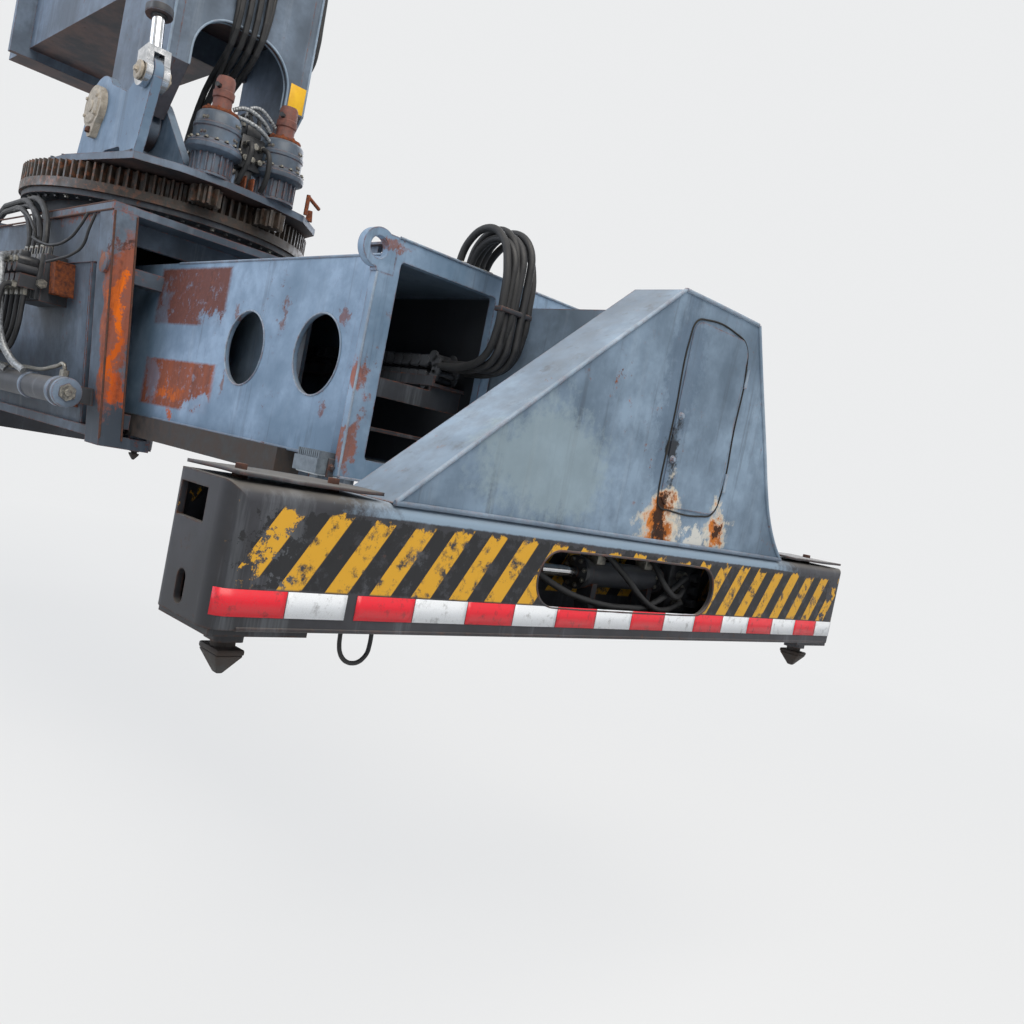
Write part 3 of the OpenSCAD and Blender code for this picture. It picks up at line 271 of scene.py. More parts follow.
    # Dust settles on what faces up
    facing = put(t, "SeparateXYZ", {"Vector": surface.outputs["Normal"]})
    level = put(t, "MapRange", {"Value": facing.outputs["Z"], "From Min": 0.45,
                                "From Max": 0.98, "To Max": dust})
    dusted_at = put(t, "Math", {0: level, 1: mottle}, operation="MULTIPLY")
    colour = put(t, "Mix", {"Factor": dusted_at, "A": colour, "B": ink("#A29B90")},
                 data_type="RGBA")
    if extra:
        colour, worn = extra(t, place, surface, colour, worn, rust)

    gloss = put(t, "MapRange", {"Value": worn, "To Min": rough, "To Max": 0.9})
    lift = put(t, "MapRange", {"Value": worn, "To Min": 0.06, "To Max": 0.5})
    round_edge = put(t, "Bevel", {"Radius": 0.003}, samples=4)
    relief = put(t, "Bump", {"Height": scale, "Strength": lift, "Distance": 0.003,
                             "Normal": round_edge})
    skin = put(t, "BsdfPrincipled", {"Base Color": colour, "Roughness": gloss, "Normal": relief,
                                     "IOR": 1.5, "Specular IOR Level": 0.35})
    put(t, "OutputMaterial", {"Surface": skin})
    return mat


def plain_finish(name, first, second, mm, rough=(0.5, 0.7), metal=0.0, bump=0.15, spec=0.5,
                 depth=0.001, extra=None):
    """Two tones in a cloud pattern of the given size, with a matching relief."""
    mat, t = blank(name)
    place = put(t, "TexCoord").outputs["Object"]
    cloud = put(t, "TexNoise", {"Vector": place, "Scale": size_mm(mm), "Detail": 8.0,
                                "Roughness": 0.65})
    share = put(t, "MapRange", {"Value": cloud, "From Min": 0.38, "From Max": 0.64})
    colour = put(t, "Mix", {"Factor": share, "A": ink(first), "B": ink(second)},
                 data_type="RGBA")
    if extra:
        colour = extra(t, place, colour)
    gloss = put(t, "MapRange", {"Value": share, "To Min": rough[0], "To Max": rough[1]})
    relief = put(t, "Bump", {"Height": cloud, "Strength": bump, "Distance": depth})
    skin = put(t, "BsdfPrincipled", {"Base Color": colour, "Roughness": gloss, "Normal": relief,
                                     "Metallic": metal})
    if not metal:
        skin.inputs["Specular IOR Level"].default_value = spec
    put(t, "OutputMaterial", {"Surface": skin})
    return mat


def stripes(sign):
    """Hazard stripes on the outer face of an end beam: yellow and black, leaning, worn at the
    ends. Sign is 1 for the near beam and -1 for the far one."""
    def paint(t, place, surface, colour, worn, rust):
        spot = put(t, "SeparateXYZ", {"Vector": place})
        across = put(t, "Math", {0: spot.outputs["Y"], 1: sign}, operation="MULTIPLY")
        lean = put(t, "Math", {0: spot.outputs["Z"], 1: -0.6, 2: across}, operation="MULTIPLY_ADD")
        wave = put(t, "Math", {0: lean, 1: 1 / 0.108, 2: 0.35}, operation="MULTIPLY_ADD")
        step = put(t, "Math", {"Value": wave}, operation="FRACT")
        band = put(t, "MapRange", {"Value": step, "From Min": 0.49, "From Max": 0.51})
        pair = put(t, "Mix", {"Factor": band, "A": ink("#D6A12B"), "B": ink("#202124")},
                   data_type="RGBA")
        low, high = at(0, 0, 80).z, at(0, 0, 222).z
        above = put(t, "MapRange", {"Value": spot.outputs["Z"], "From Min": low - 0.002,
                                    "From Max": low + 0.002})
        flaw = put(t, "TexNoise", {"Vector": place, "Scale": size_mm(34), "Detail": 9.0,
                                   "Roughness": 0.74})
        # The paint flakes off at its top and at the beam's ends
        top = put(t, "Math", {0: flaw, 1: 0.08, 2: spot.outputs["Z"]}, operation="MULTIPLY_ADD")
        below = put(t, "MapRange", {"Value": top, "From Min": high + 0.047,
                                    "From Max": high + 0.043})
        ends = put(t, "Math", {"Value": across}, operation="ABSOLUTE")
        flaked = put(t, "Math", {0: flaw, 1: 0.8, 2: ends}, operation="MULTIPLY_ADD")
        inner = put(t, "MapRange", {"Value": flaked, "From Min": 1.53, "From Max": 1.51})
        front = put(t, "SeparateXYZ", {"Vector": surface.outputs["Normal"]})
        outward = put(t, "Math", {0: front.outputs["X"], 1: sign}, operation="MULTIPLY")
        faced = put(t, "MapRange", {"Value": outward, "From Min": 0.7, "From Max": 0.9})
        kept = put(t, "MapRange", {"Value": flaw, "From Min": 0.62, "From Max": 0.52,
                                   "To Max": 0.95})
        mask = above
        for other in (below, inner, faced, kept):
            mask = put(t, "Math", {0: mask, 1: other}, operation="MULTIPLY")
        return put(t, "Mix", {"Factor": mask, "A": colour, "B": pair}, data_type="RGBA"), worn
    return paint


def underside_dirt_and_shade(t, place, surface, colour, worn, rust):
    """Brown road dirt and rust on what faces the ground, and painted shade that darkens these undersides
    towards near black.
    """
    facing = put(t, "SeparateXYZ", {"Vector": surface.outputs["Normal"]})
    # Dirt and painted shade: faces that point down are mixed towards dark brown
    under = put(t, "MapRange", {"Value": facing.outputs["Z"], "From Min": -0.3,
                                "From Max": -0.8, "To Max": 0.88})
    stain = put(t, "TexNoise", {"Vector": place, "Scale": size_mm(240), "Detail": 8.0,
                                "Roughness": 0.7})
    stain_at = put(t, "MapRange", {"Value": stain, "From Min": 0.4, "From Max": 0.62})
    dirt = put(t, "Mix", {"Factor": stain_at, "A": ink("#2B2422"), "B": ink("#5E4338")},
               data_type="RGBA")
    return put(t, "Mix", {"Factor": under, "A": colour, "B": dirt}, data_type="RGBA"), worn


def tooth_wear(t, place, tone):
    """Bare flanks and orange dust on the teeth, mostly on the boom's side of the ring."""
    spot = put(t, "TexNoise", {"Vector": place, "Scale": size_mm(30), "Detail": 8.0,
                               "Roughness": 0.7})
    spot_at = put(t, "MapRange", {"Value": spot, "From Min": 0.50, "From Max": 0.66})
    side = put(t, "SeparateXYZ", {"Vector": place})
    share = put(t, "MapRange", {"Value": side.outputs["Y"], "From Min": 0.1, "From Max": -0.6,
                                "To Min": 0.12, "To Max": 0.85})
    both = put(t, "Math", {0: spot_at, 1: share}, operation="MULTIPLY")
    return put(t, "Mix", {"Factor": both, "A": tone, "B": ink("#7E4C30")}, data_type="RGBA")


def beam_coat(name, sign):
    """Charcoal enamel of an end beam, with a band of the blue coat where the tower stands."""
    band = ("inner", (sign * 2920, sign * -50, 262), (140, 890, 24), "#8397AA", 0.92, 0.35)
    return painted_steel(name, "#3E3F45", "#2C2D31", chip=0.9, runs=0.5, dust=0.5, rough=0.5,
                         rust_dark="#33241E", rust_mid="#6A4632", extra=stripes(sign),
                         patches=[band])


blue = painted_steel("weathered_blue_enamel", "#889DB4", "#5F758B", chip=0.55, runs=0.9, dust=0.5)
slate = painted_steel("weathered_slate_enamel", "#697788", "#4B5663", chip=0.6, runs=0.7, dust=0.45,
                      extra=underside_dirt_and_shade)
# Painted shade: the inside of the main frame's box, where no light or wash reaches, is laid over in near
# black
BOX_INSIDE_PAINTED_SHADE = ("inner", (0, 0, 625), (2300, 420.6, 295.6), "#1B1B1D", 0.97, 0.0)
sleeve_coat = painted_steel(
    "slate_enamel_with_rust", "#5C6978", "#38414C", chip=0.7, runs=0.7, dust=0.4,
    rust_dark="#5A2E22", rust_mid="#9A5030", patches=[
        ("round", (764, -610, 640), (60, 84, 400), "#8E5340", 0.95, 0.5),
        ("round", (764, -606, 735), (50, 26, 140), "#D8680F", 1.0, 0.7),
        ("round", (764, -586, 520), (50, 26, 130), "#C45A12", 1.0, 0.7),
        ("round", (764, -560, 380), (50, 36, 70), "#C05210", 0.9, 0.8),
        ("round", (764, -690, 985), (40, 16, 130), "#A05030", 0.9, 0.8),
        ("round", (764, -640, 965), (40, 60, 26), "#2A2D31", 0.9, 1.3),
        ("round", (700, -660, 873), (46, 40, 46), "#8E5A40", 0.8, 0.8),
        ("round", (400, -640, 1100), (500, 60, 16), "#8A4A2C", 0.8, 1.2)])
# The last patch is painted shade: near black over the inside of the box
box_coat = painted_steel(
    "blue_enamel_worn_by_sliding_shaded_inside", "#889FB8", "#60788F", chip=0.6, runs=0.9, dust=0.5,
    rust_dark="#4E2B24", rust_mid="#7E4A38",
    patches=[
        ("box", (1010, -435, 804), (294, 20, 111), "#63392F", 0.95, 0.12),
        ("box", (1010, -435, 462), (300, 20, 94), "#8A4726", 0.95, 0.16),
        ("box", (-1850, 435, 804), (330, 20, 111), "#63392F", 0.95, 0.12),
        ("box", (-1850, 435, 462), (330, 20, 94), "#8A4726", 0.95, 0.16),
        ("coat", (1290, -435, 690), (190, 30, 70), None, 0.95, 0.6),
        ("coat", (1240, -435, 366), (190, 30, 44), None, 0.95, 0.6),
        ("coat", (790, -435, 610), (70, 30, 300), None, 0.55, 0.8),
        ("round", (960, -435, 420), (150, 20, 55), "#C4601E", 0.9, 0.9),
        ("round", (1362, -435, 505), (16, 20, 60), "#7A4A2C", 0.7, 1.2),
        ("round", (1400, -435, 752), (30, 20, 22), "#7A4A2C", 0.7, 1.2),
        ("round", (1722, -435, 735), (18, 20, 70), "#6E4028", 0.7, 1.3),
        ("round", (1684, -435, 470), (18, 20, 70), "#6E4028", 0.7, 1.3),
        ("round", (2066, -435, 745), (22, 20, 46), "#7A3E24", 0.7, 1.2),
        ("round", (2030, -435, 480), (24, 20, 50), "#7A3E24", 0.7, 1.2), BOX_INSIDE_PAINTED_SHADE])
plate_coat = painted_steel(
    "blue_enamel_end_plate", "#889FB8", "#60788F", chip=0.6, runs=0.9, dust=0.4,
    patches=[
        ("round", (2264, -470, 560), (60, 30, 60), "#A8541E", 0.8, 1.0),
        ("round", (2264, -470, 380), (60, 30, 90), "#8A4A24", 0.8, 1.0),
        ("round", (2264, -440, 965), (60, 70, 20), "#8A4A24", 0.7, 1.2)])
tower_coat = painted_steel(
    "blue_enamel_with_rust_holes", "#8398AD", "#57697B", chip=0.55, runs=0.95, dust=0.5,
    rust_mid="#A35A22", patches=[
        ("paint", (3004, -420, 420), (60, 260, 170), "#8FA0A6", 0.55, 1.0),
        ("paint", (3004, 30, 640), (60, 90, 330), "#4E6176", 0.6, 1.0),
        ("paint", (3004, 62, 500), (60, 34, 110), "#1F2329", 0.95, 0.9),
        ("paint", (3004, 60, 320), (60, 96, 92), "#D6CCB8", 0.95, 0.9),
        ("paint", (3004, 200, 282), (60, 130, 34), "#D4D2CA", 0.85, 1.1),
        ("paint", (3004, 350, 318), (60, 74, 66), "#D6CCB8", 0.9, 1.0),
        ("round", (3004, 56, 318), (40, 72, 74), "#C0702A", 1.0, 0.9),
        ("paint", (3004, 56, 335), (40, 34, 44), "#241610", 0.95, 0.9),
        ("round", (3004, 352, 318), (40, 54, 48), "#C0702A", 1.0, 1.0),
        ("paint", (3004, 356, 332), (40, 30, 22), "#2A1A12", 0.95, 0.9)])
beam_near = beam_coat("charcoal_beam_near", 1)
beam_far = beam_coat("charcoal_beam_far", -1)
charcoal = painted_steel("charcoal_enamel", "#42454B", "#2E3034", chip=0.7, runs=0.5, dust=0.5)
motor_coat = painted_steel("oily_grey_enamel", "#6C7C8E", "#434D59", chip=0.6, runs=0.9, dust=0.35,
                           rough=0.42)
toothed = plain_finish("greased_teeth", "#1E1B18", "#3F352D", 34, rough=(0.3, 0.65), bump=0.4,
                       extra=tooth_wear)
drum_coat = painted_steel("greased_drum_enamel", "#3A4048", "#22252A", chip=0.8, runs=0.9, dust=0.3)
ext_coat = painted_steel("rubbed_beam_enamel", "#7D8FA2", "#56636F", chip=0.8, runs=0.9, dust=0.6,
                         rough=0.45)
sooty = plain_finish("sooty_forging", "#1C1B1B", "#3A302B", 40, rough=(0.6, 0.9), bump=0.5,
                     depth=0.002)
rusted = plain_finish("rusted_forging", "#3A2620", "#5C3A2C", 14, rough=(0.75, 0.95), bump=0.6,
                      depth=0.002)
chromed = plain_finish("hard_chrome", "#B9BBBD", "#D5D6D8", 40, rough=(0.12, 0.22), metal=1.0,
                       bump=0.02)
dusty_pin = plain_finish("dusty_steel", "#8E8578", "#B3AA9C", 22, rough=(0.7, 0.9), bump=0.4)
rubber = plain_finish("hose_rubber", "#151618", "#26272A", 30, rough=(0.5, 0.7), bump=0.2)
nylon = plain_finish("moulded_nylon", "#1C1D20", "#44474B", 60, rough=(0.45, 0.6), bump=0.1)
bronze = plain_finish("worn_bronze", "#5A4326", "#8A6A3A", 25, rough=(0.4, 0.6), metal=0.6)
lamp_cast = plain_finish("cast_aluminium", "#59636C", "#747E87", 30, rough=(0.45, 0.65), metal=0.3)

COATS = {
    "boom_head": slate, "head_front": slate, "head_cross": slate, "boom_tube": slate,
    "boom_hoses": rubber,
    "damper_barrel": slate, "damper_rod": chromed,
    "rotator_plate": slate, "hang_lugs": blue, "hang_pins": dusty_pin,
    "slew_motors": motor_coat, "hose_swivel": charcoal,
    "pinion_left": toothed, "pinion_right": toothed, "slew_ring": toothed,
    "ring_drum": drum_coat,
    "sleeve_top": sleeve_coat, "sleeve_side_left": sleeve_coat, "sleeve_side_right": sleeve_coat,
    "shift_barrel": charcoal, "valve_block": charcoal, "sleeve_hoses": rubber,
    "frame_plates": box_coat, "frame_web": box_coat, "frame_walls": box_coat,
    "end_plates": plate_coat, "lifting_eyes": plate_coat, "slide_rails": sooty,
    "frame_pads": bronze,
    "chain_tray": charcoal, "energy_chain": nylon, "frame_hoses": rubber,
    "work_lamps": lamp_cast, "shift_rod": chromed, "hose_cover": slate,
    "ext_beam_near": ext_coat, "end_beam_near": beam_near, "tower_near": tower_coat,
    "beam_covers_near": charcoal, "lock_barrel_near": charcoal, "lock_rod_near": rusted,
    "beam_cable": rubber,
    "ext_beam_far": ext_coat, "end_beam_far": beam_far, "tower_far": blue,
    "beam_covers_far": charcoal, "lock_barrel_far": charcoal, "lock_rod_far": rusted,
    "twistlocks_near_left": rusted, "twistlocks_near_right": rusted,
    "twistlocks_far_left": rusted, "twistlocks_far_right": rusted,
}
for label, coat in COATS.items():
    NODES[label].data.materials.clear()
    NODES[label].data.materials.append(coat)


# ---------------------------------------------------------------- tools for the pieces

def lay(point, turn=1):
    """A point in spreader millimetres; turn -1 gives its twin, half round the spreader."""
    return at(turn * point[0], turn * point[1], point[2])


def dress(verts, slot):
    """Gives the faces at these corners one of the piece's finishes."""
    faces = {f for v in verts for f in v.link_faces}
    for face in faces:
        face.material_index = slot
    return faces


def edges_of(verts):
    return {e for v in verts for e in v.link_edges}


def ease(bm, edges, soft, steps=2):
    """Rounds edges by soft mm."""
    bmesh.ops.bevel(bm, geom=list(edges), offset=soft / 1000, segments=steps, profile=0.5,
                    affect="EDGES", material=-1)


def brick(bm, low, high, soft=0.0, turn=1, slot=0, steps=2):
    """A block between two corners, its edges rounded by soft mm."""
    a, b = lay(low, turn), lay(high, turn)
    span = [abs(q - p) for p, q in zip(a, b)]
    made = bmesh.ops.create_cube(bm, size=1.0, matrix=Matrix.Translation((a + b) / 2)
                                 @ Matrix.Diagonal((*span, 1)))["verts"]
    dress(made, slot)
    if soft:
        ease(bm, edges_of(made), soft, steps)


def bar(bm, start, end, radius, end_radius=None, sides=24, soft=0.0, turn=1, slot=0):
    """A round bar or cone between two points."""
    a, b = lay(start, turn), lay(end, turn)
    way = b - a
    place = Matrix.Translation((a + b) / 2) @ way.to_track_quat("Z", "Y").to_matrix().to_4x4()
    last = radius if end_radius is None else end_radius
    made = bmesh.ops.create_cone(bm, cap_ends=True, segments=sides, radius1=radius / 1000,
                                 radius2=last / 1000, depth=way.length, matrix=place)["verts"]
    faces = dress(made, slot)
    if soft:
        ease(bm, {e for f in faces if len(f.verts) == sides for e in f.edges}, soft)


def bolt(bm, place, way, width, turn=1, slot=0):
    """A washer, a hexagon head and its crown."""
    p, d = Vector(place), Vector(way).normalized()
    bar(bm, p, p + d * width * 0.14, width * 0.72, sides=20, turn=turn, slot=slot)
    bar(bm, p, p + d * width * 0.62, width * 0.5, sides=6, turn=turn, slot=slot,
        soft=width * 0.06)


def lathe(bm, centre, rows, sides=48, slot=0):
    """A turned piece about an upright axis, from rows of (radius, height)."""
    axis = at(*centre)
    verts = [bm.verts.new(axis + Vector((r / 1000, 0, z / 1000))) for r, z in rows]
    edges = [bm.edges.new(pair) for pair in zip(verts, verts[1:])]
    bmesh.ops.spin(bm, geom=verts + edges, cent=axis, axis=(0, 0, 1), dvec=(0, 0, 0),
                   angle=2 * math.pi, steps=sides, use_merge=True)
    faces = {f for v in verts for f in v.link_faces}
    todo = list(faces)
    while todo:
        for edge in todo.pop().edges:
            for other in edge.link_faces:
                if other not in faces:
                    faces.add(other)
                    todo.append(other)
    for face in faces:
        face.material_index = slot


def piece(name, bm, coats, body, crease=35, thick=0.0):
    """Makes an object of a bmesh, with clean outward normals, that rides on a body."""
    bmesh.ops.remove_doubles(bm, verts=bm.verts, dist=1e-6)
    bmesh.ops.recalc_face_normals(bm, faces=bm.faces)
    mesh = bpy.data.meshes.new(name)
    bm.to_mesh(mesh)
    bm.free()
    for face in mesh.polygons:
        face.use_smooth = True
    mesh.set_sharp_from_angle(angle=math.radians(crease))
    for coat in coats:
        mesh.materials.append(coat)
    obj = bpy.data.objects.new(name, mesh)
    bpy.context.scene.collection.objects.link(obj)
    if thick:
        sheet = obj.modifiers.new("thickness", "SOLIDIFY")
        sheet.thickness = thick / 1000
        sheet.offset = -1
    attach(obj, body)
    return obj


def lines(name, runs, radius, coat, body, turn=1, steps=8, closed=False, sides=3):
    """Hoses, pipes or weld beads: smooth round lines through the points of each run."""
    data = bpy.data.curves.new(name, "CURVE")
    data.dimensions = "3D"
    data.bevel_depth = radius / 1000
    data.bevel_resolution = sides
    data.resolution_u = steps
    data.use_fill_caps = True
    for run in runs:
        spline = data.splines.new("BEZIER")
        spline.bezier_points.add(len(run) - 1)
        spline.use_cyclic_u = closed
        for knot, point in zip(spline.bezier_points, run):
            knot.co = lay(point, turn)
            knot.handle_left_type = knot.handle_right_type = "AUTO"
    data.materials.append(coat)
    obj = bpy.data.objects.new(name, data)
    bpy.context.scene.collection.objects.link(obj)
    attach(obj, body)
    return obj


def smooth_run(points, count):
    """Points along a Catmull-Rom line through the given points."""
    pts = [Vector(points[0])] + [Vector(p) for p in points] + [Vector(points[-1])]
    out = []
    for k in range(count + 1):
        u = k / count * (len(points) - 1)
        i = min(int(u), len(points) - 2)
        f = u - i
        a, b, c, d = pts[i:i + 4]
        out.append(0.5 * (2 * b + (c - a) * f + (2 * a - 5 * b + 4 * c - d) * f ** 2
                          + (3 * b - a - 3 * c + d) * f ** 3))
    return out


def armoured(bm, points, radius, pitch=13.0, turn=1, slot=0):
    """A hose in a sleeve of steel rings."""
    length = sum((Vector(b) - Vector(a)).length for a, b in zip(points, points[1:]))
    run = smooth_run(points, max(6, int(length / pitch)))
    for a, b in zip(run, run[1:]):
        m = (a + b) / 2
        bar(bm, a, m, radius * 0.86, radius, sides=14, turn=turn, slot=slot)
        bar(bm, m, b, radius, radius * 0.86, sides=14, turn=turn, slot=slot)


END_BODIES = {1: "extension_near", -1: "extension_far"}
SIDES = {1: "near", -1: "far"}
BEAM_X0, BEAM_X1, BEAM_H = 2789.5, 3014.5, 270.0
TOWER_X1 = 3004.5

# ---------------------------------------------------------------- more finishes

def tape(name, colour, dirt):
    """Retroreflective sheet, scratched and grimy, with its faint net of cells."""
    def grime(t, place, tone):
        net = put(t, "TexVoronoi", {"Vector": place, "Scale": size_mm(4.2)},
                  feature="DISTANCE_TO_EDGE")
        cell = put(t, "MapRange", {"Value": net.outputs["Distance"], "From Min": 0.02,
                                   "From Max": 0.07, "To Min": 0.14, "To Max": 0.0})
        netted = put(t, "Mix", {"Factor": cell, "A": tone, "B": ink("#6A6A6C")},
                     data_type="RGBA")
        dirty = put(t, "TexNoise", {"Vector": place, "Scale": size_mm(26), "Detail": 9.0,
                                    "Roughness": 0.72})
        dirty_at = put(t, "MapRange", {"Value": dirty, "From Min": 0.54, "From Max": 0.70,
                                       "To Max": 0.75})
        return put(t, "Mix", {"Factor": dirty_at, "A": netted, "B": ink(dirt)},
                   data_type="RGBA")
    return plain_finish(name, colour, colour, 60, rough=(0.28, 0.45), bump=0.08, extra=grime)


red_tape = tape("red_reflective_tape", "#D91228", "#4A2A2A")
white_tape = tape("white_reflective_tape", "#DDE1E6", "#77787A")
zinc = plain_finish("zinc_plated_fitting", "#6E6D69", "#98958C", 12, rough=(0.35, 0.6), metal=0.85)
oily = plain_finish("oily_black_casting", "#1C1D1F", "#34363A", 26, rough=(0.3, 0.6), bump=0.4)
brown_cap = plain_finish("red_brown_motor_enamel", "#56352F", "#75493F", 24, rough=(0.6, 0.8),
                         bump=0.4)
orange_rust = plain_finish("orange_rust_scale", "#4E2A1E", "#8E4C28", 16, rough=(0.8, 0.95),
                           bump=0.7, depth=0.002)
yellow_label = plain_finish("yellow_plate_enamel", "#E3B21C", "#D8A312", 40, rough=(0.4, 0.55))
white_label = plain_finish("white_label_film", "#DADCDD", "#C9CBCC", 20, rough=(0.4, 0.6))
# Painted shade: near black for the shaded gap round the door
seam_painted_shade = plain_finish("painted_shade_in_a_seam", "#17181A", "#26241F", 20, rough=(0.8, 0.95))
dusty_hose = plain_finish("dusty_hose_rubber", "#141517", "#2A2B2D", 40, rough=(0.55, 0.8), bump=0.3)
ring_hose = plain_finish("galvanised_hose_armour", "#6D7073", "#A4A8AB", 10, rough=(0.4, 0.6),
                         metal=0.6, bump=0.3)
# Painted highlight: a lighter copy of the blue enamel on rims, edge beads and door fittings, for the
# light their edges catch
rim_blue_highlight = painted_steel("blue_enamel_lightened_as_edge_highlight", "#97A9BA", "#73879A", chip=0.6, runs=0.3,
                         dust=0.5)
bead_blue = painted_steel("enamel_over_weld", "#7F92A5", "#5C6E80", chip=0.9, runs=0.3, dust=0.3)
bead_slate = painted_steel("slate_enamel_over_weld", "#525E6A", "#3A434C", chip=0.9, runs=0.3,
                           dust=0.3)
lens_glass = plain_finish("lamp_glass", "#C7CDD2", "#B4BCC4", 50, rough=(0.08, 0.2), spec=0.8)


# ---------------------------------------------------------------- end beams

BEAM_CORNER = 40.0
BEAM_HALF = 1219.0
TOWER_FOOT = (-850, 752)
LOCK_X, LOCK_Y = 2926.5, 1129.5
# Ends of each loose cover along the beam, and how far its corners are bent up
COVERS = ((-1204, -875, 9), (792, 1204, 8))
TAPE_Z = (26.0, 77.0)
TAPE_BLOCK = 152.4


def beam_face(y):
    """Outer face of an end beam at y, round its upright corners."""
    past = abs(y) - (BEAM_HALF - BEAM_CORNER)
    if past <= 0:
        return BEAM_X1
    return BEAM_X1 - BEAM_CORNER + math.sqrt(max(0.0, BEAM_CORNER ** 2 - past ** 2))


def tape_strip(bm, y0, y1, slot, turn):
    """One block of tape on the outer face, bent round the corner where it reaches it."""
    parts = max(2, int(abs(y1 - y0) / 12))
    grid = bmesh.ops.create_grid(bm, x_segments=parts, y_segments=1, size=0.5)["verts"]
    for v in grid:
        y = y0 + (v.co.x + 0.5) * (y1 - y0)
        z = TAPE_Z[0] + (v.co.y + 0.5) * (TAPE_Z[1] - TAPE_Z[0])
        rise = 1.4 + 0.5 * noise.noise(Vector((y / 60, z / 40, turn)))
        v.co = lay((beam_face(y) + rise, y, z), turn)
    dress(grid, slot)


def beam_tape(turn):
    """Red and white tape along the foot of an end beam's outer face."""
    bm = bmesh.new()
    tape_strip(bm, -1211, -1066, 0, turn)
    tape_strip(bm, -1064, -928, 1, turn)
    y, k = -905.0, 0
    while y < 1190:
        tape_strip(bm, y + 1, min(y + TAPE_BLOCK - 1, 1193), k % 2, turn)
        y, k = y + TAPE_BLOCK, k + 1
    piece("beam_tape_" + SIDES[turn], bm, [red_tape, white_tape], END_BODIES[turn], thick=0.8)


def beam_seams(turn):
    """Weld beads along the beam's lower outer edge and round the tower's foot."""
    name = SIDES[turn]
    x = TOWER_X1 + 2
    lines("tower_foot_bead_" + name, [
        [(x, TOWER_FOOT[0], 272), (x, -500, 273), (x, 0, 272), (x, 400, 273),
         (x, TOWER_FOOT[1], 272)]],
        6, bead_blue, END_BODIES[turn], turn)
    lines("beam_edge_bead_" + name, [
        [(BEAM_X1 - 3, y, 3) for y in (-1160, -700, -200, 300, 800, 1160)]],
        5, beam_near if turn > 0 else beam_far, END_BODIES[turn], turn)


def oval_rim(turn):
    """Flame-cut lip of the oval opening."""
    half, high, mid_y, mid_z = 385.0, 71.0, -4.0, 145.0
    rim = []
    for side in (1, -1):
        for k in range(12):
            a = math.pi * k / 11 - side * math.pi / 2
            y = mid_y + side * (half - high) + high * math.cos(a)
            rim.append((BEAM_X1 - 1, y, mid_z + high * math.sin(a)))
    lines("oval_rim_" + SIDES[turn], [rim], 3.2, charcoal, END_BODIES[turn], turn, closed=True,
          steps=4)


def oval_gear(turn):
    """Hoses, ports, sensors and the block behind the oval opening."""
    bm = bmesh.new()
    cx, cz = BEAM_X0 + 85, 149.0
    bar(bm, (cx, -250, cz), (cx, -100, cz), 16.4, slot=0, turn=turn)
    for y in (-96, 238):
        bar(bm, (cx, y, cz), (cx, y + 14, cz), 46, sides=40, soft=2, slot=1, turn=turn)
        for k in range(8):
            a = k * math.pi / 4 + 0.3
            bolt(bm, (cx + 36 * math.cos(a), y, cz + 36 * math.sin(a)), (0, -1, 0), 10, turn, 2)
    for y in (-30, 190):
        brick(bm, (cx - 6, y - 18, cz + 30), (cx + 34, y + 18, cz + 62), 3, turn, 2)
        bar(bm, (cx + 14, y, cz + 62), (cx + 14, y, cz + 78), 13, sides=6, turn=turn, slot=2)
    brick(bm, (BEAM_X0 + 20, 300, 60), (BEAM_X0 + 120, 470, 215), 6, turn, 1)
    for z in (92, 132, 172):
        bar(bm, (BEAM_X0 + 120, 345, z), (BEAM_X0 + 142, 345, z), 16, sides=6, turn=turn, slot=2)
        bar(bm, (BEAM_X0 + 120, 415, z), (BEAM_X0 + 146, 415, z), 13, sides=20, turn=turn, slot=1)
    brick(bm, (BEAM_X0 + 16, -360, 40), (BEAM_X0 + 30, -280, 230), 3, turn, 1)
    bolt(bm, (BEAM_X0 + 30, -320, 200), (1, 0, 0), 22, turn, 2)
    piece("oval_gear_" + SIDES[turn], bm, [chromed, oily, zinc], END_BODIES[turn])
    lines("oval_hoses_" + SIDES[turn], [
        [(cx + 14, -30, cz + 74), (cx + 34, -20, cz + 62), (cx + 70, 40, cz + 10),
         (cx + 92, 120, cz - 52), (cx + 86, 210, cz - 76), (cx + 60, 345, cz - 57)],
        [(cx + 14, 190, cz + 74), (cx + 40, 196, cz + 56), (cx + 84, 214, cz - 4),
         (cx + 88, 270, cz - 34), (cx + 60, 345, cz - 17)],
        [(cx + 30, -380, cz + 40), (cx + 80, -250, cz - 30), (cx + 90, -120, cz - 62),
         (cx + 90, 40, cz - 74), (cx + 80, 160, cz - 66), (cx + 62, 345, cz + 23)]],
        9, dusty_hose, END_BODIES[turn], turn)


def cover_plate(bm, y0, y1, lift, turn):
    """A thin cover that years of knocks have bent up at its corners."""
    grid = bmesh.ops.create_grid(bm, x_segments=10, y_segments=24, size=0.5)["verts"]
    for v in grid:
        u, w = v.co.x, v.co.y
        x = BEAM_X0 + 12 + (u + 0.5) * (BEAM_X1 - 14 - BEAM_X0 - 12)
        y = y0 + (w + 0.5) * (y1 - y0)
        corner = max(0.0, abs(w) * 2 - 0.45) ** 2 * (0.45 + u)
        z = BEAM_H + 9 + lift * corner + 2.2 * noise.noise(Vector((x / 130, y / 120, turn)))
        v.co = lay((x, y, z), turn)


def beam_covers(turn):
    """Loose cover plates on an end beam, with their bolts."""
    bm = bmesh.new()
    for y0, y1, lift in COVERS:
        cover_plate(bm, y0, y1, lift, turn)
    plates = piece("cover_plates_" + SIDES[turn], bm, [charcoal], END_BODIES[turn], thick=7)
    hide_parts("beam_covers_" + SIDES[turn])
    bm = bmesh.new()
    x = (BEAM_X0 + BEAM_X1) / 2
    for y0, y1, _ in COVERS:
        for k in (0.18, 0.82):
            y = y0 + k * (y1 - y0)
            bolt(bm, (x, y, BEAM_H + 11), (0, 0, 1), 26, turn)
            bar(bm, (x, y, BEAM_H), (x, y, BEAM_H + 10), 15, turn=turn)
    piece("cover_bolts_" + SIDES[turn], bm, [rusted], END_BODIES[turn])


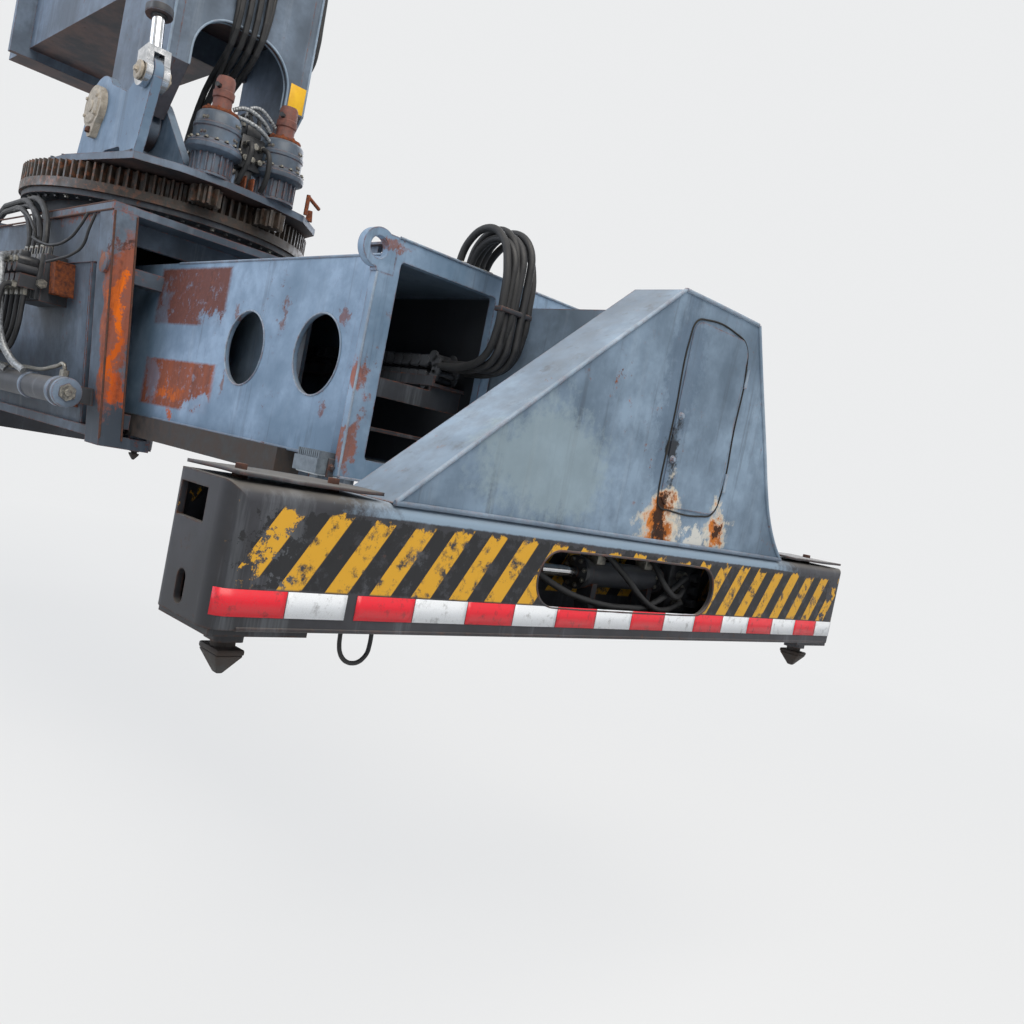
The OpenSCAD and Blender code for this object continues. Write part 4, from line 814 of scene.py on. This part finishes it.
def twistlock(turn, side):
    """Forged twistlock: nut, shaft, neck and the head with its pointed tip."""
    x, y = LOCK_X, side * turn * LOCK_Y
    bm = bmesh.new()
    bar(bm, (x, y, -50), (x, y, 150), 24, turn=turn)
    bar(bm, (x, y, 14.5), (x, y, 58), 46, sides=6, soft=3, turn=turn)
    brick(bm, (x - 38, y - 29, -62), (x + 38, y + 29, -50), 4, turn)
    cone = bmesh.ops.create_cone(
        bm, cap_ends=True, segments=4, radius1=math.sqrt(0.5), radius2=0.16, depth=1.0,
        matrix=Matrix.Translation(lay((x, y, -83), turn))
        @ Matrix.Diagonal((0.076, 0.058, 0.042, 1)) @ Matrix.Rotation(math.pi, 4, "X")
        @ Matrix.Rotation(math.pi / 4, 4, "Z"))["verts"]
    ease(bm, edges_of(cone), 4, 3)
    hand = {(1, -1): "near_left", (1, 1): "near_right", (-1, -1): "far_left",
            (-1, 1): "far_right"}[turn, side]
    lock = piece("lock_forging_" + hand, bm, [sooty], "twistlock_" + hand)
    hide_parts("twistlocks_" + hand)


for turn in (1, -1):
    beam_tape(turn)
    beam_seams(turn)
    oval_rim(turn)
    oval_gear(turn)
    beam_covers(turn)
    for side in (-1, 1):
        twistlock(turn, side)


# ---------------------------------------------------------------- towers

def tower_details(turn):
    """The service door in the outer face: a proud panel in a dark seam of painted shade, with its hinges.
    """
    x = TOWER_X1
    left, right_y, low, high = 30.0, 330.0, 362.0, 892.0
    seam = [(x + 1, left, low + 30), (x + 1, left, (low + high) / 2), (x + 1, left, high - 60),
            (x + 1, left + 14, high - 16), (x + 1, left + 60, high), (x + 1, right_y - 90, high),
            (x + 1, right_y - 24, high - 22), (x + 1, right_y, high - 90),
            (x + 1, right_y, (low + high) / 2), (x + 1, right_y, low + 70),
            (x + 1, right_y - 24, low + 14), (x + 1, right_y - 80, low), (x + 1, left + 60, low),
            (x + 1, left + 10, low + 8)]
    # The seam's dark line is painted shade in the gap
    lines("door_seam_" + SIDES[turn], [seam], 2.6, seam_painted_shade, END_BODIES[turn], turn, closed=True,
          steps=6)
    bm = bmesh.new()
    brick(bm, (x - 4, left + 9, low + 9), (x + 3, right_y - 9, high - 9), 0, turn)
    upright = [e for e in bm.edges if abs(e.verts[0].co.x - e.verts[1].co.x) > 0.004]
    ease(bm, upright, 45, 8)
    piece("tower_door_" + SIDES[turn], bm, [tower_coat if turn > 0 else blue], END_BODIES[turn])
    bm = bmesh.new()
    for z in (470, 780):
        bar(bm, (x + 4, right_y + 7, z - 28), (x + 4, right_y + 7, z + 28), 5, sides=12,
            turn=turn)
    for y, z in ((left + 26, 620), (left + 26, 500)):
        bolt(bm, (x + 3, y, z), (1, 0, 0), 15, turn)
    # Door fittings and the tower's edge beads wear the lighter blue: painted highlight
    piece("door_fittings_" + SIDES[turn], bm, [rim_blue_highlight], END_BODIES[turn])
    lines("tower_edge_beads_" + SIDES[turn], [
        [(x + 1, -846, 274), (x + 1, -560, 510), (x + 1, -300, 723), (x + 1, -30, 942)],
        [(x + 1, -26, 943), (x + 1, 160, 944), (x + 1, 346, 943)],
        [(x + 1, 351, 942), (x + 1, 410, 820), (x + 1, 468, 704), (x + 1, 530, 580)]
        + [(x + 1, 1077 - 550 * math.sin(math.radians(a)), 713.3 - 550 * math.cos(math.radians(a)))
           for a in (63.7, 54.6, 45.4, 36.5)]], 5.5, rim_blue_highlight, END_BODIES[turn], turn)


for turn in (1, -1):
    tower_details(turn)

# ---------------------------------------------------------------- slewing head

SLEW_X = -347.0
PLATE_HI = 1412.0
MOTORS = [(372.8, -162.8), (372.8, 162.8)]
PIN_X, PIN_Z = -156, 1660


def fin(bm, centre, angle, near, far, half, low, high, slot=0):
    """An upright fin that stands out from a round body at an angle in degrees."""
    turn = Matrix.Rotation(math.radians(angle), 4, "Z")
    size = Matrix.Diagonal(((far - near) / 1000, 2 * half / 1000, (high - low) / 1000, 1))
    place = Matrix.Translation(at(centre[0], centre[1], (low + high) / 2)) @ turn @ \
        Matrix.Translation(((near + far) / 2000, 0, 0)) @ size
    made = bmesh.ops.create_cube(bm, size=1.0, matrix=place)["verts"]
    dress(made, slot)


def round_place(centre, angle, radius, z):
    a = math.radians(angle)
    return (centre[0] + radius * math.cos(a), centre[1] + radius * math.sin(a), z)


def on_plate(points):
    """Points whose heights count from the top of the slewing plate."""
    return [(x, y, PLATE_HI + z) for x, y, z in points]


def slew_motors():
    """Ribbed slew drives with their caps and bolts, and the valve block and hoses between them."""
    bm = bmesh.new()
    for k, (x, y) in enumerate(MOTORS):
        lathe(bm, (x, y, PLATE_HI), [
            (42, 0), (95, 0), (95, 10), (82, 14), (82, 92), (96, 98), (113, 104), (121, 110),
            (123, 116), (123, 130), (118, 134), (118, 142), (110, 150), (101, 154), (101, 204),
            (105, 208), (105, 222), (101, 226), (98, 266), (90, 278), (78, 284)], slot=0)
        lathe(bm, (x, y, PLATE_HI), [(78, 284), (80, 288), (80, 297), (62, 302), (45, 303)], slot=1)
        lathe(bm, (x, y, PLATE_HI), [
            (45, 303), (42, 309), (42, 352), (47, 357), (48, 384), (43, 390), (42, 438), (36, 451),
            (0, 452)], slot=2)
        for i in range(18):
            fin(bm, (x, y), 20 * i, 80, 94, 3.5, PLATE_HI + 12, PLATE_HI + 93)
        for i in range(16):
            bolt(bm, round_place((x, y), 22.5 * i, 112, PLATE_HI + 148), (0, 0, 1), 15, slot=3)
        for a in (-150, -60, 30, 120):
            for z in (176, 240):
                d = Vector(round_place((0, 0), a, 1, 0))
                for da in (-5, 5):
                    bolt(bm, round_place((x, y), a + da, 99, PLATE_HI + z), d, 11, slot=3)
        for i in range(8):
            bolt(bm, round_place((x, y), 45 * i + 10, 66, PLATE_HI + 299), (0, 0, 1), 13, slot=1)
        for a, reach, z, radius, sides in ((-60, 62, 400, 12, 6), (150, 66, 330, 14, 20)):
            bar(bm, round_place((x, y), a, 30, PLATE_HI + z),
                round_place((x, y), a, reach, PLATE_HI + z), radius, sides=sides, slot=4)
    motors = piece("slew_drives", bm, [motor_coat, orange_rust, brown_cap, zinc, oily],
                   "rotator_head", crease=30)
    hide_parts("slew_motors")
    bm = bmesh.new()
    brick(bm, (318, -58, PLATE_HI + 96), (404, 58, PLATE_HI + 246), 6, slot=0)
    brick(bm, (300, -34, PLATE_HI + 246), (392, 40, PLATE_HI + 296), 5, slot=0)
    brick(bm, (330, -26, PLATE_HI), (392, 26, PLATE_HI + 96), 4, slot=0)
    for y in (-38, 0, 38):
        bar(bm, (404, y, PLATE_HI + 200), (436, y, PLATE_HI + 200), 15, sides=6, slot=1)
        bar(bm, (404, y, PLATE_HI + 140), (428, y, PLATE_HI + 140), 13, sides=20, soft=2, slot=1)
        bar(bm, (350, y, PLATE_HI + 290), (350, y, PLATE_HI + 322), 13, sides=6, slot=1)
    armoured(bm, on_plate([(372, -108, 330), (392, -70, 352), (398, -20, 350), (392, 40, 330),
                           (378, 84, 300)]), 11, slot=2)
    armoured(bm, on_plate([(404, -96, 300), (428, -50, 292), (436, 10, 276), (420, 66, 252)]), 11, slot=2)
    armoured(bm, on_plate([(350, -30, 318), (362, -24, 372), (376, 20, 386), (372, 74, 362),
                           (366, 112, 336)]), 10, slot=2)
    piece("drive_valves", bm, [oily, zinc, ring_hose], "rotator_head")
    lines("drive_hoses", [
        on_plate([(436, -38, 200), (470, -40, 190), (476, -44, 120), (450, -50, 60),
                  (420, -52, 20)]),
        on_plate([(436, 38, 200), (476, 44, 180), (484, 54, 110), (462, 60, 50), (430, 62, 14)]),
        on_plate([(350, 38, 318), (330, 40, 372), (280, 20, 380), (200, 0, 300),
                  (120, -10, 220), (40, -16, 168)]),
        on_plate([(350, 0, 318), (322, -6, 352), (262, -20, 340), (180, -30, 240),
                  (90, -34, 160)])], 12, dusty_hose, "rotator_head")


def head_plate_gear():
    """Bolts on the upper plate and below the ring's flange, the wedge between the motors
    and the bar beside the right one."""
    bm = bmesh.new()
    for i in range(30):
        bolt(bm, round_place((SLEW_X, 0), 12 * i + 4, 590, PLATE_HI), (0, 0, 1), 22)
    piece("race_bolts", bm, [bead_slate], "rotator_head")
    bm = bmesh.new()
    for i in range(60):
        bolt(bm, round_place((SLEW_X, 0), 6 * i, 646, 1220), (0, 0, -1), 20, slot=i % 5 // 4)
    piece("rim_bolts", bm, [oily, zinc], "sleeve")
    bm = bmesh.new()
    for s in (-1, 1):
        brick(bm, (382, s * 20 - 4, PLATE_HI), (438, s * 20 + 4, PLATE_HI + 60), 2)
    bar(bm, (398, 330, PLATE_HI), (398, 330, PLATE_HI + 96), 10, sides=12)
    bar(bm, (398, 330, PLATE_HI + 88), (360, 420, PLATE_HI + 60), 9, sides=12)
    bar(bm, (300, 410, PLATE_HI), (300, 410, PLATE_HI + 52), 18, 12, sides=16)
    piece("plate_fittings", bm, [orange_rust], "rotator_head")


def keeper(y, radius, side, name):
    """Layered cap of a hanging pin: a stepped disc, a boss in its middle and four bolts."""
    bm = bmesh.new()
    bar(bm, (PIN_X, y, PIN_Z), (PIN_X, y + side * 7, PIN_Z), radius - 16, radius - 22, sides=56)
    bar(bm, (PIN_X, y, PIN_Z), (PIN_X, y + side * 12, PIN_Z), 30, 27, sides=32, soft=2)
    for a in (35, 145, 215, 325):
        r = math.radians(a)
        spot = (PIN_X + (radius - 30) * math.cos(r), y + side * 5,
                PIN_Z + (radius - 30) * math.sin(r))
        bolt(bm, spot, (0, side, 0), 16)
    piece(name, bm, [dusty_pin], "rotator_head")


def lug_beads():
    """Weld beads at the feet of the three lugs."""
    runs = []
    for y, end in ((-497, 330), (-453, 330), (-242, 260), (-198, 260), (242, 260), (198, 260)):
        runs.append([(-360, y, PLATE_HI + 4), (-150, y, PLATE_HI + 4), (-30, y, PLATE_HI + 4)])
        if y < -400:
            runs.append([(190, y, PLATE_HI + 4), (end, y, PLATE_HI + 4)])
        else:
            runs.append([(-20, y, PLATE_HI + 4), (end, y, PLATE_HI + 4)])
    lines("lug_beads", runs, 7, bead_slate, "rotator_head")


slew_motors()
head_plate_gear()
keeper(-525, 98, -1, "left_pin_cap")
keeper(394, 84, 1, "right_pin_cap")
lug_beads()
lines("pin_nipple", [[(-150, -524, 1560), (-146, -534, 1552), (-142, -536, 1538)]], 10, rusted,
      "rotator_head")

# ---------------------------------------------------------------- boom head

FACE_X = 154.0
TUBE_JOINT = -474
# Upper and lower eye of the swing damper, as (x, z)
DAMPER_TOP, DAMPER_FOOT, DAMPER_Y = (189, 2700), (349, 1742), -475


def arch_line(x, grow=0.0):
    """Edge of the arch in the front plate, from the left foot round to the right one."""
    half, top, corner = 250 + grow, 2195 + grow, 190 + grow
    out = [(x, -half, 1925), (x, -half, 1965)]
    for k in range(9):
        a = math.radians(180 - 11.25 * k)
        out.append((x, -60 + corner * math.cos(a), 2005 + corner * math.sin(a)))
    out += [(x, -y, z) for _, y, z in reversed(out)]
    return out


def head_details():
    """Beads, rims, blank plate, clamps and loose hoses of the boom head."""
    # Arch rims and edge beads wear the lighter blue as painted highlight, on the slate head too
    lines("arch_rims", [arch_line(FACE_X - 3, 1), arch_line(FACE_X - 37, 1)], 6, rim_blue_highlight,
          "boom_head", steps=4)
    edge = [(FACE_X, 1925), (FACE_X, 2100), (FACE_X, 2600), (FACE_X, 3130)]
    lines("head_edge_beads", [[(x - 1, s * 354, z) for x, z in edge] for s in (-1, 1)]
          + [[(FACE_X - 2, s * 353, 1925), (66, s * 353, 1808), (-18, s * 353, 1694)]
             for s in (-1, 1)], 6, rim_blue_highlight, "boom_head")
    lines("boss_beads", [[(PIN_X + 105 * math.cos(a), s * 357, PIN_Z + 105 * math.sin(a))
                          for a in (k * math.pi / 8 for k in range(16))] for s in (-1, 1)],
          6, bead_slate, "boom_head", closed=True, steps=4)
    bm = bmesh.new()
    brick(bm, (FACE_X, 262, 1932), (FACE_X + 2, 349, 2062), 0.8, slot=0)
    piece("blank_yellow_plate", bm, [yellow_label], "boom_head")
    bm = bmesh.new()
    for z in (2560, 2800):
        brick(bm, (FACE_X, -104, z - 2), (FACE_X + 56, 104, z + 28), 5, slot=0)
        for y in (-90, -44, 0, 44, 90):
            bolt(bm, (FACE_X + 56, y, z + 13), (1, 0, 0), 13, slot=1)
    piece("hose_clamps", bm, [charcoal, zinc], "boom_head")
    lines("head_side_hoses", [
        [(110, 374, 3060), (112, 378, 2700), (116, 384, 2420), (112, 388, 2300), (84, 390, 2206),
         (40, 388, 2178), (0, 384, 2206), (-24, 378, 2290), (-30, 374, 2420), (-30, 372, 2700)],
        [(70, 374, 3060), (72, 378, 2700), (76, 382, 2460), (70, 384, 2330), (48, 384, 2262),
         (14, 382, 2240), (-14, 378, 2280), (-60, 374, 2400), (-120, 372, 2520)]],
        15, dusty_hose, "boom_head")
    lines("arch_hoses", [
        [(176, -96, 2900), (176, -94, 2600), (176, -88, 2400), (172, -80, 2260), (150, -72, 2160),
         (100, -60, 2070), (30, -48, 1990), (-40, -40, 1920), (-100, -36, 1850), (-150, -34, 1770)],
        [(178, 98, 2900), (178, 96, 2600), (178, 90, 2400), (174, 84, 2260), (150, 76, 2160),
         (98, 64, 2080), (28, 52, 2010), (-44, 44, 1940), (-104, 40, 1870), (-150, 38, 1790)]],
        11, dusty_hose, "boom_head")
    lines("tube_beads", [
        [(TUBE_JOINT, s * 357, z) for z in (2334, 2700, 3136)] for s in (-1, 1)]
        + [[(TUBE_JOINT, y, 2328) for y in (-350, 0, 350)]], 7, bead_slate, "boom_head")


def damper_details():
    """Gland nut, ports and the blank label of the swing damper, in its tilted frame."""
    (x, z), (foot_x, foot_z) = DAMPER_TOP, DAMPER_FOOT
    tilt = math.atan2(x - foot_x, z - foot_z)

    def on_damper(dx, dy, dz):
        return (x + dx * math.cos(tilt) + dz * math.sin(tilt), DAMPER_Y + dy,
                z - dx * math.sin(tilt) + dz * math.cos(tilt))

    bm = bmesh.new()
    bar(bm, on_damper(0, 0, -704), on_damper(0, 0, -672), 57.5, sides=48, soft=2, slot=0)
    bar(bm, on_damper(0, 0, -711), on_damper(0, 0, -704), 34, sides=40, slot=1)
    bar(bm, on_damper(0, -56, -170), on_damper(0, -82, -170), 17, sides=6, slot=2)
    bar(bm, on_damper(0, -56, -620), on_damper(0, -82, -620), 17, sides=6, slot=2)
    piece("damper_gland", bm, [charcoal, oily, zinc], "damper_barrel")
    bm = bmesh.new()
    grid = bmesh.ops.create_grid(bm, x_segments=12, y_segments=1, size=0.5)["verts"]
    for v in grid:
        a = math.radians(-72 + 60 * v.co.x)
        v.co = at(*on_damper(56.8 * math.cos(a), 56.8 * math.sin(a), -560 + 90 * v.co.y))
    piece("damper_label", bm, [white_label], "damper_barrel", thick=0.4)
    lines("damper_hose", [[on_damper(0, -80, -170), on_damper(0, -104, -180),
                           on_damper(-14, -112, -240), on_damper(-22, -110, -400),
                           on_damper(-14, -110, -560), on_damper(0, -102, -610),
                           on_damper(0, -80, -620)]], 8, dusty_hose, "damper_barrel")
    bm = bmesh.new()
    for s in (-1, 1):
        end = (foot_x, DAMPER_Y + s * 66, foot_z)
        bar(bm, (foot_x, DAMPER_Y + s * 54, foot_z), end, 40, sides=36, soft=2)
        bolt(bm, end, (0, s, 0), 24)
    piece("fork_pin_heads", bm, [dusty_pin], "rotator_head")


head_details()
damper_details()

# ---------------------------------------------------------------- sleeve

# The leaning side: half width at its foot, how far its top leans out, height of foot and rise
SIDE_FOOT, SIDE_LEAN, SIDE_Z0, SIDE_RISE = 492, 98, 160, 945


def in_face(z):
    """Leaning inner face of the sleeve's side at height z."""
    return SIDE_FOOT + SIDE_LEAN * (z - SIDE_Z0) / SIDE_RISE


def leaning(bm, x0, x1, z0, z1, out0, out1, side, slot=0, soft=0.0):
    """A block that leans with the sleeve's side, out0 to out1 outside its inner face."""
    made = bmesh.ops.create_cube(bm, size=1.0)["verts"]
    for v in made:
        z = z1 if v.co.z > 0 else z0
        out = out1 if v.co.y > 0 else out0
        v.co = at(x1 if v.co.x > 0 else x0, side * (in_face(z) + out), z)
    dress(made, slot)
    if soft:
        ease(bm, edges_of(made), soft)


def sleeve_details():
    """Stiffening plates, edge beads and rusty boxes on the sleeve's sides."""
    bm = bmesh.new()
    for side in (-1, 1):
        leaning(bm, -1318, 624, 884, 1074, 74, 82, side, soft=2)
        leaning(bm, -1318, 624, 196, 236, 74, 90, side, soft=3)
        for x in (-1240, 560):
            leaning(bm, x, x + 16, 240, 880, 74, 94, side, soft=2)
        for x in (-1388, 714):
            z = 873
            y = in_face(z) + 95
            bar(bm, (x + 6, side * (y - 4), z), (x + 6, side * (y + 12), z), 40, sides=40, soft=3)
    piece("side_plates", bm, [sleeve_coat], "sleeve")
    beads = []
    for side in (-1, 1):
        for x in (766, -1460):
            beads.append([(x, side * (in_face(z) + 4), z) for z in (200, 500, 800, 1070)])
            beads.append([(x, side * (in_face(z) + 91), z) for z in (200, 500, 800, 1070)])
        beads.append([(x, side * 683, 1106) for x in (-1450, -900, -300, 300, 758)])
        beads.append([(x, side * 683, 1075) for x in (-1450, -900, -300, 300, 758)])
    lines("sleeve_edge_beads", beads, 4, rusted, "sleeve")
    bm = bmesh.new()
    leaning(bm, 276, 338, 742, 872, 75, 150, -1, slot=0, soft=4)
    leaning(bm, 400, 470, 300, 356, 75, 120, -1, slot=0, soft=4)
    piece("rusty_boxes", bm, [orange_rust], "sleeve")


VALVE_XS = [-53 + 68 * i for i in range(5)]


def valve_details():
    """Valve slices with their solenoids, fittings and the hoses that drop from them."""
    bm = bmesh.new()
    for x in VALVE_XS:
        brick(bm, (x - 29, -752, 704), (x + 29, -722, 896), 4, slot=0)
        bar(bm, (x, -752, 850), (x, -830, 850), 24, sides=28, soft=3, slot=0)
        bar(bm, (x, -830, 850), (x, -842, 850), 15, sides=6, slot=1)
        brick(bm, (x - 16, -824, 866), (x + 16, -786, 892), 3, slot=0)
        bar(bm, (x, -819, 744), (x, -837, 744), 17, sides=6, slot=1)
        bar(bm, (x, -783, 742), (x, -783, 712), 15, sides=6, slot=1)
        bar(bm, (x, -715, 898), (x, -715, 942), 16, sides=6, slot=1)
        bolt(bm, (x, -753, 806), (0, -1, 0), 14, slot=1)
    bar(bm, (-118, -740, 800), (-97, -740, 800), 26, sides=30, soft=3, slot=0)
    bar(bm, (263, -740, 770), (290, -740, 770), 20, sides=6, slot=1)
    piece("valve_slices", bm, [oily, zinc], "sleeve")
    drops = []
    for x in VALVE_XS:
        drops.append([(x, -836, 744), (x + 6, -862, 736), (x + 10, -872, 690), (x - 2, -866, 610),
                      (x - 30, -846, 520), (x - 80, -822, 450), (x - 170, -800, 420)])
    lines("valve_drops", drops, 10, dusty_hose, "sleeve")
    lines("grey_elbow", [[(-20, -842, 860), (0, -872, 856), (40, -884, 820), (56, -880, 740),
                          (50, -868, 600), (44, -846, 480), (60, -800, 420), (90, -765, 398)],
                         [(120, -842, 862), (150, -870, 850), (196, -876, 790), (208, -862, 640),
                          (214, -838, 520), (260, -800, 440), (330, -766, 402)]],
          15, ring_hose, "sleeve")
    lines("side_cables", [
        [(600, -690, 1060), (590, -700, 1000), (560, -700, 940), (470, -706, 900), (380, -720, 880),
         (300, -742, 862)],
        [(520, -690, 1070), (500, -706, 1010), (430, -716, 960), (330, -742, 930), (240, -764, 940),
         (151, -760, 960), (151, -720, 944)],
        [(-400, -700, 1130), (-250, -728, 1120), (-60, -742, 1080), (80, -748, 1010),
         (83, -722, 950)]], 6, rubber, "sleeve")


def shift_cylinder():
    """Glands, ports, end caps and pipes of the side-shift cylinder."""
    bm = bmesh.new()
    y, z = -720, 350
    bar(bm, (700, y, z), (724, y, z), 58, sides=48, soft=4, slot=0)
    bar(bm, (724, y, z), (730, y, z), 34, sides=6, slot=1)
    bar(bm, (724, y, z), (738, y, z), 14, sides=24, soft=2, slot=1)
    for x in (-1380, 640):
        bar(bm, (x, y, z), (x + 34, y, z), 60, sides=48, soft=3, slot=0)
        bar(bm, (x + 17, y, z + 50), (x + 17, y, z + 84), 18, sides=6, slot=1)
    for x in (-900, -300, 300):
        bar(bm, (x, y, z), (x + 26, y, z), 55, sides=48, soft=2, slot=0)
    piece("shift_cylinder_caps", bm, [motor_coat, zinc], "sleeve")
    lines("shift_pipes", [
        [(657, y, z + 84), (650, y - 4, z + 104), (600, y - 8, z + 96), (420, y - 8, z + 72),
         (200, y - 8, z + 70), (90, y - 30, z + 60)],
        [(-1363, y, z + 84), (-1340, y - 4, z + 104), (-1260, y - 8, z + 84),
         (-900, y - 10, z + 66), (-400, y - 10, z + 66), (0, y - 20, z + 66)]],
        8, zinc, "sleeve")


sleeve_details()
valve_details()
shift_cylinder()

# ---------------------------------------------------------------- main frame

HOLE_XS = (1489.0, 1949.0)
CHAIN_X, CHAIN_PITCH = 2134, 46


def frame_details():
    """Bands and weld beads of the main frame, and the cut rims of its round holes."""
    bm = bmesh.new()
    for turn in (1, -1):
        for side in (-1, 1):
            brick(bm, (2136, side * 435, 322), (2234, side * 442, 928), 2.5, turn)
        brick(bm, (2120, -400, 935), (2234, 400, 943), 3, turn)
    piece("end_bands", bm, [plate_coat], "main_frame")
    beads = []
    for turn in (1, -1):
        for side in (-1, 1):
            beads.append([(turn * 2232, turn * side * 437, z) for z in (318, 500, 750, 932)])
            for z in (316, 934):
                beads.append([(turn * x, turn * side * 434, z)
                              for x in (860, 1200, 1600, 2000, 2230)])
    lines("frame_beads", beads, 5, bead_blue, "main_frame")
    rims = []
    for x in HOLE_XS:
        for sx in (-1, 1):
            for side in (-1, 1):
                rims.append([(sx * x + 131 * math.cos(a), side * 436, 625 + 131 * math.sin(a))
                             for a in (k * math.pi / 10 for k in range(20))])
    # Hole rims and the end plates' beads wear the lighter blue: painted highlight
    lines("hole_rims", rims, 3.2, rim_blue_highlight, "main_frame", closed=True, steps=3, sides=2)
    plate = []
    for turn in (1, -1):
        x = 2265
        for side in (-1, 1):
            plate.append([(turn * x, turn * side * v, z) for v, z in (
                (487, 271), (488, 500), (488, 760), (486, 868))])
        plate.append([(turn * x, turn * v, 270) for v in (-486, -200, 200, 486)])
        plate.append([(turn * x, turn * v, 983) for v in (-428, -150, 150, 428)])
    lines("end_plate_beads", plate, 4, rim_blue_highlight, "main_frame")


def chain_links():
    """Energy chain: side plates with a round joint on each pitch, and cross bars."""
    bm = bmesh.new()
    for turn in (1, -1):
        for row in (610.0, 660.0):
            for i in range(36):
                x = CHAIN_X - CHAIN_PITCH * i
                for y in (-142, -62):
                    brick(bm, (x - 44, y, row + 2), (x + 3, y + 8, row + 42), 5, turn, steps=1)
                    bar(bm, (x - 2, y - 3, row + 22), (x - 2, y + 11, row + 22), 13, sides=12,
                        turn=turn)
                for z in (row + 1, row + 37):
                    brick(bm, (x - 28, -136, z), (x - 12, -60, z + 6), 0, turn)
        run = [(CHAIN_X + 47 * math.sin(a), 657 - 46 * math.cos(a))
               for a in (math.radians(d) for d in range(0, 181, 30))]
        for (xa, za), (xb, zb) in zip(run, run[1:]):
            for y in (-142, -62):
                bar(bm, (xa, y, za), (xa, y + 8, za), 20, sides=14, turn=turn)
            bar(bm, ((xa + xb) / 2, -138, (za + zb) / 2), ((xa + xb) / 2, -58, (za + zb) / 2), 9,
                sides=10, turn=turn)
    chain = piece("chain_links", bm, [nylon], "main_frame", crease=40)
    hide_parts("energy_chain")


def end_hoses():
    """Three more hoses beside those of the frame, their saddle on top and the ferrules."""
    for turn in (1, -1):
        runs = []
        for y, lift in ((-140, 24), (-28, 10), (-98, 30)):
            runs.append([(2192, y, 944), (2194, y, 990), (2226, y, 1044 + lift),
                         (2300, y, 1080 + lift), (2376, y, 1048 + lift), (2420, y, 980),
                         (2430, y, 880), (2424, y + 4, 790), (2392, y + 6, 712), (2310, y + 6, 674),
                         (2190, y + 6, 668)])
        lines("end_hoses_" + SIDES[turn], runs, 12, dusty_hose, "main_frame", turn)
        bm = bmesh.new()
        brick(bm, (2184, -160, 943), (2232, -12, 962), 4, turn, 0)
        for y in (-140, -112, -84, -56, -28):
            bar(bm, (2212, y, 958), (2212, y, 1000), 16, sides=20, soft=2, turn=turn, slot=1)
            bar(bm, (2212, y, 962), (2212, y, 978), 19, sides=6, turn=turn, slot=1)
        brick(bm, (2410, -152, 846), (2444, -18, 862), 4, turn, 0)
        piece("hose_saddle_" + SIDES[turn], bm, [charcoal, zinc], "main_frame")


def lamps():
    """Lens, brackets and bolts of the work lamps."""
    for turn in (1, -1):
        bm = bmesh.new()
        cx, cy = 2169, -497
        brick(bm, (cx - 54, cy - 38, 264), (cx + 54, cy + 38, 268), 2, turn, 0)
        for sx in (-1, 1):
            brick(bm, (cx + sx * 66 - 4, cy - 12, 262), (cx + sx * 66 + 4, cy + 12, 318), 2,
                  turn, 1)
            bolt(bm, (cx + sx * 70, cy, 292), (sx, 0, 0), 14, turn, 1)
        piece("lamp_fittings_" + SIDES[turn], bm, [lens_glass, charcoal], "main_frame")


frame_details()
chain_links()
end_hoses()
lamps()

# ---------------------------------------------------------------- cable loop

CABLE_X = BEAM_X1 - 65
CABLE = [(0, -880, 0), (0, -880, -12), (1, -880, -26), (2, -879, -41), (4, -875, -57),
         (5, -865, -70), (6, -853, -77), (6, -840, -79), (6, -827, -77), (5, -815, -70),
         (4, -805, -57), (2, -801, -41), (1, -800, -26), (0, -800, -12), (0, -800, 0)]
CABLE = [(CABLE_X + dx, y, z) for dx, y, z in CABLE]


def cable_loop():
    cable = lines("loose_cable", [CABLE], 5, rubber, "extension_near", steps=6)
    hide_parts("beam_cable")


cable_loop()
